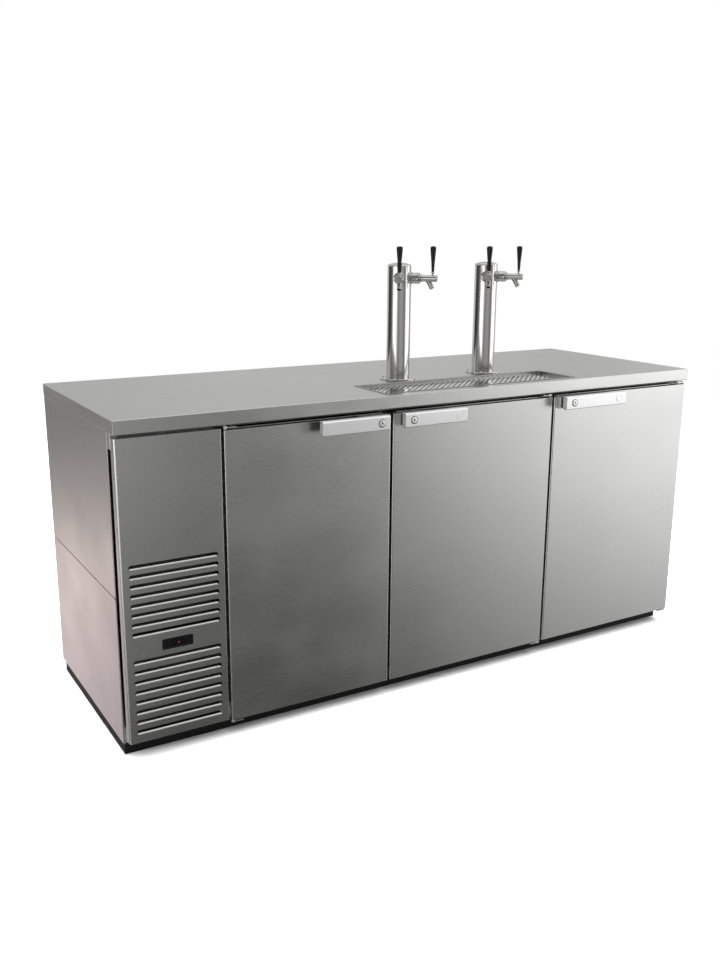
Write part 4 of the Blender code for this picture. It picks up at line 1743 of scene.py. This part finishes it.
        # lever and tapered grip
        pivot = at @ Matrix.Translation((0, -0.106, 0.004))
        rise = 1.2573 - TAP_Z - 0.004
        bm = bmesh.new()
        add_lathe(
            bm,
            (
                (0.0, -0.0040),
                (0.0018, -0.0038),
                (0.0031, -0.0026),
                (0.0038, -0.0004),
                (0.0036, 0.0012),
                (0.0032, 0.0024),
                (0.0031, rise - 0.0052),
                (0.0046, rise - 0.0046),
                (0.0051, rise - 0.0038),
                (0.0051, rise - 0.0014),
                (0.0046, rise - 0.0008),
                (0.0030, rise - 0.0003),
                (0.0, rise - 0.0003),
            ),
            32,
        )
        finish(
            f"{tag}_lever_stem",
            bm,
            TAP_STEEL,
            f"tap_lever_{tap_number}",
            (f"{tag}_lever",),
            34,
            moved=pivot,
        )
        grip = (
            (0.000, 0.0050, 0.0035),
            (0.006, 0.0054, 0.0038),
            (0.020, 0.0056, 0.0040),
            (0.180, 0.0063, 0.0046),
            (0.330, 0.0070, 0.0052),
            (0.345, 0.0069, 0.0053),
            (0.360, 0.0062, 0.0054),
            (0.375, 0.0059, 0.0054),
            (0.400, 0.0060, 0.0056),
            (0.520, 0.0069, 0.0064),
            (0.640, 0.0077, 0.0072),
            (0.760, 0.0086, 0.0080),
            (0.880, 0.0093, 0.0087),
            (0.925, 0.0094, 0.0089),
            (0.952, 0.0091, 0.0086),
            (0.973, 0.0082, 0.0078),
            (0.989, 0.0066, 0.0062),
            (0.998, 0.0042, 0.0040),
            (1.000, 0.0020, 0.0019),
        )
        bm = bmesh.new()
        total = 1.3333 - 1.2573
        loft(
            bm,
            [
                [
                    (
                        half_w * math.cos(2 * math.pi * k / 40),
                        half_d * math.sin(2 * math.pi * k / 40),
                        rise + part * total,
                    )
                    for k in range(40)
                ]
                for part, half_w, half_d in grip
            ],
        )
        finish(
            f"{tag}_grip",
            bm,
            GRIP_BLACK,
            f"tap_lever_{tap_number}",
            (f"{tag}_handle",),
            34,
            moved=pivot,
        )

# ------------------------------------------------------------------ machine compartment
# condenser fins in near-black, painted shade of the bay seen through the louvres
bm = bmesh.new()
for k in range(59):
    x = 0.0215 + k * 0.0039375
    add_box(bm, (x, 0.0720, 0.0965), (x + 0.0007, 0.1070, 0.5585))
for x0, x1 in ((0.0200, 0.0212), (0.2538, 0.2550)):
    add_box(bm, (x0, 0.0721, 0.0950), (x1, 0.1069, 0.5600))
for row, y in enumerate((0.0800, 0.0990)):
    for k in range(11):
        z = 0.1200 + k * 0.0400 + row * 0.0100
        merge(bm, bar(0.0042, (0.0205, y, z), (0.2545, y, z), 14), 1)
finish(
    "condenser_fins",
    bm,
    [COIL_SHADE_DARK, COPPER],
    "cabinet",
    ("condenser_coil",),
    weld=0,
)


def fan_wheel(name, node, body, matrix, hub_r, tip_r, blades, reach, thick):
    bm = bmesh.new()
    add_lathe(
        bm,
        (
            (0.0, -0.0090),
            (hub_r - 0.001, -0.0090),
            (hub_r, -0.0080),
            (hub_r, 0.0070),
            (hub_r - 0.002, 0.0088),
            (hub_r * 0.5, 0.0090),
            (hub_r * 0.45, 0.0080),
            (0.0, 0.0080),
        ),
        40,
    )
    across, along_r = 8, 9
    for b in range(blades):
        turn = 2 * math.pi * b / blades
        sheets = []
        for level in (thick / 2, -thick / 2):
            rows = []
            for i in range(along_r + 1):
                part = i / along_r
                r = hub_r * 0.9 + (tip_r - hub_r * 0.9) * part
                chord = 0.030 + 0.030 * math.sin(math.pi * min(1.0, part * 0.62 + 0.1))
                row = []
                for j in range(across + 1):
                    s = j / across - 0.5
                    angle = turn + s * chord / r + 0.20 * part * part
                    lift = 2 * s * reach + 0.0018 * (1 - 4 * s * s)
                    edge = 1 - 0.10 * (2 * abs(s)) ** 3 * part
                    row.append(
                        bm.verts.new(
                            (
                                r * edge * math.cos(angle),
                                r * edge * math.sin(angle),
                                lift + level,
                            )
                        )
                    )
                rows.append(row)
            sheets.append(rows)
        top, under = sheets
        for i in range(along_r):
            for j in range(across):
                bm.faces.new((top[i][j], top[i + 1][j], top[i + 1][j + 1], top[i][j + 1]))
                bm.faces.new(
                    (under[i][j], under[i][j + 1], under[i + 1][j + 1], under[i + 1][j])
                )
        for i in range(along_r):
            for j in (0, across):
                a, b2, c, d = top[i][j], under[i][j], under[i + 1][j], top[i + 1][j]
                bm.faces.new((a, b2, c, d) if j == 0 else (a, d, c, b2))
        for j in range(across):
            for i in (0, along_r):
                a, b2, c, d = top[i][j], top[i][j + 1], under[i][j + 1], under[i][j]
                bm.faces.new((a, b2, c, d) if i == 0 else (a, d, c, b2))
    finish(name, bm, FAN_BLACK, body, (node,), 40, 0, matrix)


FAN_C = Vector((0.1375, 0.146, 0.330))
fan_wheel(
    "condenser_fan_blades",
    "condenser_fan",
    "condenser_fan_wheel",
    Matrix.Translation(FAN_C) @ Matrix.Rotation(math.radians(90), 4, "X"),
    0.020,
    0.098,
    4,
    0.0072,
    0.0016,
)
bm = bmesh.new()
add_lathe(
    bm,
    (
        (0.0, 0.0),
        (0.006, 0.0),
        (0.006, 0.010),
        (0.030, 0.010),
        (0.036, 0.015),
        (0.036, 0.040),
        (0.0366, 0.041),
        (0.0366, 0.045),
        (0.036, 0.046),
        (0.036, 0.068),
        (0.030, 0.076),
        (0.0, 0.076),
    ),
    40,
    along((0, 1, 0), (FAN_C.x, FAN_C.y + 0.0095, FAN_C.z)),
)
add_box(bm, (0.1175, 0.175, 0.0815), (0.1575, 0.205, 0.3000), 0.002, 2)
add_box(bm, (0.0975, 0.165, 0.0803), (0.1775, 0.225, 0.0843), 0.001, 1)
finish(
    "fan_motor_housing",
    bm,
    BLACK_PAINT,
    "cabinet",
    ("condenser_fan_motor",),
)

bm = bmesh.new()
add_lathe(
    bm,
    (
        (0.0, 0.0980),
        (0.060, 0.0980),
        (0.072, 0.1020),
        (0.0795, 0.1120),
        (0.0800, 0.1200),
        (0.0800, 0.1820),
        (0.0828, 0.1836),
        (0.0830, 0.1850),
        (0.0830, 0.1895),
        (0.0812, 0.1912),
        (0.0784, 0.1960),
        (0.0765, 0.2200),
        (0.0740, 0.2400),
        (0.0680, 0.2540),
        (0.0560, 0.2660),
        (0.0400, 0.2745),
        (0.0240, 0.2790),
        (0.0, 0.2800),
    ),
    64,
    Matrix.Translation((0.1375, 0.440, 0.0)),
)
add_box(bm, (0.0400, 0.355, 0.0960), (0.2350, 0.525, 0.1000), 0.0015, 1)
for fx in (0.0600, 0.2150):
    for fy in (0.375, 0.505):
        add_lathe(
            bm,
            ((0.0, 0.0803), (0.013, 0.0803), (0.014, 0.0880), (0.012, 0.0965), (0.0, 0.0965)),
            20,
            Matrix.Translation((fx, fy, 0)),
            mat=1,
        )
        add_lathe(
            bm,
            ((0.0, 0.0995), (0.0060, 0.0995), (0.0060, 0.1035), (0.0, 0.1040)),
            6,
            Matrix.Translation((fx, fy, 0)),
            mat=2,
        )
add_box(bm, (0.1080, 0.3480, 0.1500), (0.1670, 0.3660, 0.2080), 0.004, 2, mat=1)
finish(
    "compressor_shell",
    bm,
    [COMPRESSOR_PAINT, GASKET, SCREW_METAL],
    "cabinet",
    ("compressor",),
)
bm = bmesh.new()
add_pipe(
    bm,
    smooth_path(
        [
            (0.2130, 0.4500, 0.1700),
            (0.2330, 0.4480, 0.1720),
            (0.2420, 0.4400, 0.2000),
            (0.2420, 0.3000, 0.4600),
            (0.2400, 0.1600, 0.5200),
            (0.2400, 0.1150, 0.5300),
        ]
    ),
    0.0032,
)
add_pipe(
    bm,
    smooth_path(
        [
            (0.1750, 0.5120, 0.1900),
            (0.1950, 0.5400, 0.2100),
            (0.2200, 0.5600, 0.3000),
            (0.2450, 0.5600, 0.5400),
            (0.2600, 0.5600, 0.6000),
            (0.2697, 0.5600, 0.6000),
        ]
    ),
    0.0048,
)
finish("refrigerant_tubes", bm, COPPER, "cabinet")

# ------------------------------------------------------------------ keg bay
bm = bmesh.new()
for k in range(76):
    y = 0.3120 + k * 0.0042
    add_box(bm, (0.3210, y, 0.4620), (0.3478, y + 0.0006, 0.8180))
for y0, y1 in ((0.3100, 0.3112), (0.6288, 0.6300)):
    add_box(bm, (0.3206, y0, 0.4600), (0.3480, y1, 0.8200))
for k in range(9):
    z = 0.4800 + k * 0.0400
    merge(bm, bar(0.0048, (0.3345, 0.3105, z), (0.3345, 0.6295, z), 14), 1)
merge(bm, bar(0.0220, (0.3440, 0.470, 0.640), (0.3520, 0.470, 0.640), 32), 2)
finish(
    "evaporator_fins",
    bm,
    [FINS, COPPER, BLACK_PAINT],
    "cabinet",
    ("evaporator_coil",),
    weld=0,
)
fan_wheel(
    "evaporator_fan_blades",
    "evaporator_fan",
    "evaporator_fan_wheel",
    Matrix.Translation((0.364, 0.470, 0.640)) @ Matrix.Rotation(math.radians(90), 4, "Y"),
    0.016,
    0.082,
    4,
    0.0062,
    0.0016,
)
bm = bmesh.new()
add_box(bm, (0.3203, 0.3000, 0.450), (0.3830, 0.6400, 0.830), 0.0030, 3)
bm = carved(
    bm,
    [
        cutter_box((0.3100, 0.3016, 0.4516), (0.3814, 0.6384, 0.8284)),
        bar(0.090, (0.370, 0.470, 0.640), (0.400, 0.470, 0.640), 72),
    ],
)
add_lathe(
    bm,
    ((0.0900, 0.0), (0.0960, 0.0), (0.0960, 0.0008), (0.0925, 0.0018), (0.0900, 0.0018)),
    72,
    along((1, 0, 0), (0.3829, 0.470, 0.640)),
    closed=True,
)
for y in (0.3120, 0.6280):
    for z in (0.4620, 0.8180):
        screw_head(bm, (0.3830, y, z), (1, 0, 0), 0.0045, 0.0018)
for radius in (0.020, 0.034, 0.048, 0.062, 0.076, 0.089):
    add_pipe(
        bm,
        [
            (
                0.3818,
                0.470 + radius * math.cos(2 * math.pi * k / 56),
                0.640 + radius * math.sin(2 * math.pi * k / 56),
            )
            for k in range(56)
        ],
        0.0010,
        6,
        1,
        True,
    )
for k in range(4):
    turn = math.radians(45 + 90 * k)
    add_pipe(
        bm,
        [
            (0.3805, 0.470 + r * math.cos(turn), 0.640 + r * math.sin(turn))
            for r in (0.018, 0.0915)
        ],
        0.0012,
        6,
        1,
    )
even(
    finish(
        "evaporator_housing",
        bm,
        [LINER, SCREW_METAL],
        "cabinet",
        ("evaporator_cover",),
        weld=0,
    )
)

for node in ("insulated_floor", "bay_bulkhead", "top_deck", "mullion_left", "mullion_right"):
    repaint(node, LINER)
repaint("back_wall", LINER)

# screws on the frame strips that the gaskets close on
bm = bmesh.new()
for x0, x1 in ((0.7800, 0.8310), (1.3815, 1.4325)):
    for z in (0.1500, 0.4600, 0.7700):
        screw_head(bm, ((x0 + x1) / 2, 0.0620, z), (0, -1, 0), 0.0034, 0.0004, drive=False)
even(finish("mullion_screws", bm, SCREW_METAL, "cabinet"))

# back: screws along the edges, a flat cover over the machine bay
bm = bmesh.new()
add_box(bm, (0.0220, 0.6980, 0.2600), (0.2600, 0.6990, 0.8400), 0.0004, 1)
for k in range(12):
    z = 0.330 + k * 0.030
    add_box(bm, (0.0600, 0.6988, z), (0.2220, 0.6996, z + 0.006), 0.0003, 1, mat=1)
for x in (0.0300, 0.2520):
    for z in (0.2700, 0.5500, 0.8300):
        screw_head(bm, (x, 0.6990, z), (0, 1, 0), 0.0040, 0.0009, mat=1, drive=False)
for k in range(9):
    x = 0.330 + k * 0.200
    for z in (0.0600, 0.8600):
        screw_head(bm, (x, 0.6980, z), (0, 1, 0), 0.0040, 0.0012, mat=1, drive=False)
even(finish("back_cover", bm, [LINER, SCREW_METAL], "cabinet"))


# ------------------------------------------------------------------ surroundings
scene = bpy.context.scene
scene.view_settings.view_transform = "Standard"
scene.view_settings.look = "None"
scene.view_settings.exposure = 0.0
scene.view_settings.gamma = 1.0

world = bpy.data.worlds.new("studio")
scene.world = world
world.use_nodes = True
wt = world.node_tree
wt.nodes.clear()


def wnode(kind, **inputs):
    return wt.nodes.new(kind)


def wmath(kind, a, b=0.0, c=0.0, clamp=False):
    made = wt.nodes.new("ShaderNodeMath")
    made.operation = kind
    made.use_clamp = clamp
    for socket, value in zip(made.inputs, (a, b, c)):
        if isinstance(value, (int, float)):
            socket.default_value = value
        else:
            wt.links.new(value, socket)
    return made.outputs[0]


def curve(value, stops, low, high, scale=1.0):
    """Piecewise-linear radiance of a direction angle: (angle, radiance or rgb)."""
    made = wt.nodes.new("ShaderNodeValToRGB")
    ramp = made.color_ramp
    ramp.interpolation = "LINEAR"
    fac = wmath("MULTIPLY_ADD", value, 1 / (high - low), -low / (high - low))
    wt.links.new(fac, made.inputs[0])
    while len(ramp.elements) > 1:
        ramp.elements.remove(ramp.elements[-1])
    for n, (angle, tone) in enumerate(stops):
        rgb = tone if isinstance(tone, tuple) else (tone, tone, tone)
        at = (angle - low) / (high - low)
        element = ramp.elements[0] if n == 0 else ramp.elements.new(at)
        element.position = at
        element.color = (*[t * scale for t in rgb], 1.0)
    return made.outputs[0]


def wmix(a, b, factor):
    made = wt.nodes.new("ShaderNodeMix")
    made.data_type = "RGBA"
    made.clamp_result = False
    for socket, value in ((made.inputs[6], a), (made.inputs[7], b)):
        if isinstance(value, tuple):
            socket.default_value = (*value, 1.0)
        else:
            wt.links.new(value, socket)
    wt.links.new(factor, made.inputs[0])
    return made.outputs[2]


direction = wt.nodes.new("ShaderNodeTexCoord").outputs["Generated"]
split = wt.nodes.new("ShaderNodeSeparateXYZ")
wt.links.new(direction, split.inputs[0])
dir_x, dir_y, dir_z = split.outputs
turn = wmath("ARCTAN2", dir_x, wmath("MULTIPLY", dir_y, -1.0))
PHI = wmath("MULTIPLY", turn, 180 / math.pi)
EL = wmath("MULTIPLY", wmath("ARCSINE", dir_z), 180 / math.pi)

HALF_TONE = 0.5  # ramps hold half the radiance, so that none of it is clipped
LOW = curve(
    PHI,
    (
        (-180, 0.30),
        (-156, 0.40),
        (-148, 0.03),
        (-121, 0.04),
        (-102, 0.14),
        (-90, 0.90),
        (-80, 2.00),
        (-67, 2.00),
        (-56, 1.30),
        (-46, 0.45),
        (-40, 0.27),
        (-33, 0.25),
        (-21, (0.34, 0.333, 0.318)),
        (-10, (0.38, 0.370, 0.350)),
        (0, 0.34),
        (8, 0.27),
        (17, 0.26),
        (22, 0.12),
        (25, 0.13),
        (28, 0.19),
        (32, 0.41),
        (37, 0.83),
        (40, 1.14),
        (44, 1.42),
        (50, 1.58),
        (56, 1.60),
        (80, 1.60),
        (88, 0.90),
        (96, 0.45),
        (125, 0.40),
        (165, 0.36),
        (180, 0.30),
    ),
    -180,
    180,
    HALF_TONE,
)
UNDER = curve(
    EL,
    (
        (-90, 0.11),
        (-40, 0.13),
        (-27, 0.19),
        (-22.5, 0.30),
        (-18.7, 0.53),
        (-16, 0.66),
        (-10, 0.95),
        (-5, 1.25),
        (10, 1.25),
        (30, 1.25),
    ),
    -90,
    90,
    HALF_TONE,
)
front_low = wt.nodes.new("ShaderNodeMix")
front_low.data_type = "RGBA"
front_low.blend_type = "MULTIPLY"
front_low.clamp_result = False
front_low.inputs[0].default_value = 1.0
wt.links.new(LOW, front_low.inputs[6])
wt.links.new(UNDER, front_low.inputs[7])
# the product of the two halves holds a quarter of the radiance

SIDE_PATCH = curve(
    EL,
    (
        (-90, (0.50, 0.44, 0.44)),
        (-45, (0.65, 0.56, 0.56)),
        (-30, (0.92, 0.79, 0.80)),
        (-25, (1.08, 0.91, 0.92)),
        (-20.4, (1.29, 1.07, 1.04)),
        (-18, (1.26, 1.07, 1.03)),
        (-14.8, (0.60, 0.55, 0.525)),
        (-10, (0.21, 0.195, 0.19)),
        (-7.5, (0.24, 0.235, 0.235)),
        (-5.5, (0.85, 0.85, 0.85)),
        (12, (0.70, 0.70, 0.70)),
    ),
    -90,
    90,
    0.25,
)
UPPER = curve(
    PHI,
    (
        (-180, 0.56),
        (-150, 0.65),
        (-120, 0.85),
        (-90, 0.60),
        (-60, 0.60),
        (-30, 0.95),
        (15, 1.05),
        (40, 0.95),
        (95, 0.90),
        (125, 0.80),
        (136, 0.55),
        (144, 0.62),
        (156, 0.625),
        (164, 0.56),
        (180, 0.56),
    ),
    -180,
    180,
    0.25,
)

LEFT_SKY = curve(
    EL,
    (
        (-90, 0.20),
        (3, 0.20),
        (28, 0.20),
        (36, 0.42),
        (60, 0.45),
        (68, 1.10),
        (90, 1.20),
    ),
    -90,
    90,
    0.25,
)


def window(value, start, end, rising=True):
    made = wt.nodes.new("ShaderNodeMapRange")
    made.interpolation_type = "SMOOTHSTEP"
    made.inputs["From Min"].default_value = start
    made.inputs["From Max"].default_value = end
    made.inputs["To Min"].default_value = 0.0 if rising else 1.0
    made.inputs["To Max"].default_value = 1.0 if rising else 0.0
    wt.links.new(value, made.inputs["Value"])
    return made.outputs["Result"]


near_left = wt.nodes.new("ShaderNodeMix")
near_left.data_type = "RGBA"
near_left.blend_type = "MULTIPLY"
near_left.clamp_result = False
near_left.inputs[7].default_value = (2.7, 2.7, 2.67, 1.0)
wt.links.new(front_low.outputs[2], near_left.inputs[6])
band = wmath("MULTIPLY", window(PHI, -6, 6), window(PHI, 17, 20.5, False))
wt.links.new(wmath("MULTIPLY", band, window(EL, -10, -8, False)), near_left.inputs[0])
tone = wmix(near_left.outputs[2], SIDE_PATCH, window(PHI, -164, -157, False))
tone = wmix(tone, SIDE_PATCH, window(PHI, 168, 176))
back_half = wmath("MULTIPLY", window(wmath("ABSOLUTE", PHI), 105, 130), window(EL, 0, 6))
tone = wmix(tone, UPPER, back_half)
tone = wmix(tone, UPPER, window(EL, 14, 30))
tone = wmix(tone, (0.28, 0.28, 0.28), window(EL, 45, 65))
at_left = wmath("MULTIPLY", window(PHI, -118, -98), window(PHI, -45, -25, False))
tone = wmix(tone, LEFT_SKY, wmath("MULTIPLY", at_left, window(EL, -1, 5)))
lift = wt.nodes.new("ShaderNodeBackground")
lift.inputs["Strength"].default_value = 4.0
wt.links.new(tone, lift.inputs["Color"])
plain = wt.nodes.new("ShaderNodeBackground")
plain.inputs["Color"].default_value = (1, 1, 1, 1)
plain.inputs["Strength"].default_value = 1.0
path = wt.nodes.new("ShaderNodeLightPath")
choose = wt.nodes.new("ShaderNodeMixShader")
wt.links.new(path.outputs["Is Camera Ray"], choose.inputs[0])
wt.links.new(lift.outputs[0], choose.inputs[1])
wt.links.new(plain.outputs[0], choose.inputs[2])
out_node = wt.nodes.new("ShaderNodeOutputWorld")
wt.links.new(choose.outputs[0], out_node.inputs["Surface"])

floor_mat, floor_tree, floor_shader = blank("studio_floor", (0.92, 0.92, 0.92), 0.0, 0.9)
floor_shader.inputs["Specular IOR Level"].default_value = 0.0
bm = bmesh.new()
bmesh.ops.create_circle(bm, cap_ends=True, segments=96, radius=6.2)
mesh = bpy.data.meshes.new("studio_floor")
bm.to_mesh(mesh)
bm.free()
mesh.materials.append(floor_mat)
floor = bpy.data.objects.new("studio_floor", mesh)
scene.collection.objects.link(floor)
floor.location = (0, 0, -0.0006)
floor.visible_glossy = False

lamp_data = bpy.data.lights.new("overhead", "AREA")
lamp_data.shape = "RECTANGLE"
lamp_data.size = 7.0
lamp_data.size_y = 7.0
lamp_data.energy = 750.0
overhead = bpy.data.objects.new("overhead", lamp_data)
scene.collection.objects.link(overhead)
overhead.location = (-0.4, -0.6, 4.2)
overhead.visible_glossy = False
overhead.visible_camera = False

# ------------------------------------------------------------------ camera
cam_data = bpy.data.cameras.new("camera")
cam_data.sensor_width = 36.0
cam_data.lens = 36.68
cam_data.clip_start = 0.05
cam_data.clip_end = 100.0
camera = bpy.data.objects.new("camera", cam_data)
scene.collection.objects.link(camera)
azimuth, elevation, roll = (math.radians(v) for v in (-30.672, 14.132, 0.349))
back_dir = Vector(
    (
        math.sin(azimuth) * math.cos(elevation),
        -math.cos(azimuth) * math.cos(elevation),
        math.sin(elevation),
    )
)
right_dir = Vector((0, 0, 1)).cross(back_dir).normalized()
up_dir = back_dir.cross(right_dir)
turned_right = right_dir * math.cos(roll) + up_dir * math.sin(roll)
turned_up = up_dir * math.cos(roll) - right_dir * math.sin(roll)
camera.matrix_world = Matrix(
    (
        (turned_right.x, turned_up.x, back_dir.x, -1.6739),
        (turned_right.y, turned_up.y, back_dir.y, -2.6343),
        (turned_right.z, turned_up.z, back_dir.z, 1.3684),
        (0, 0, 0, 1),
    )
)
scene.camera = camera
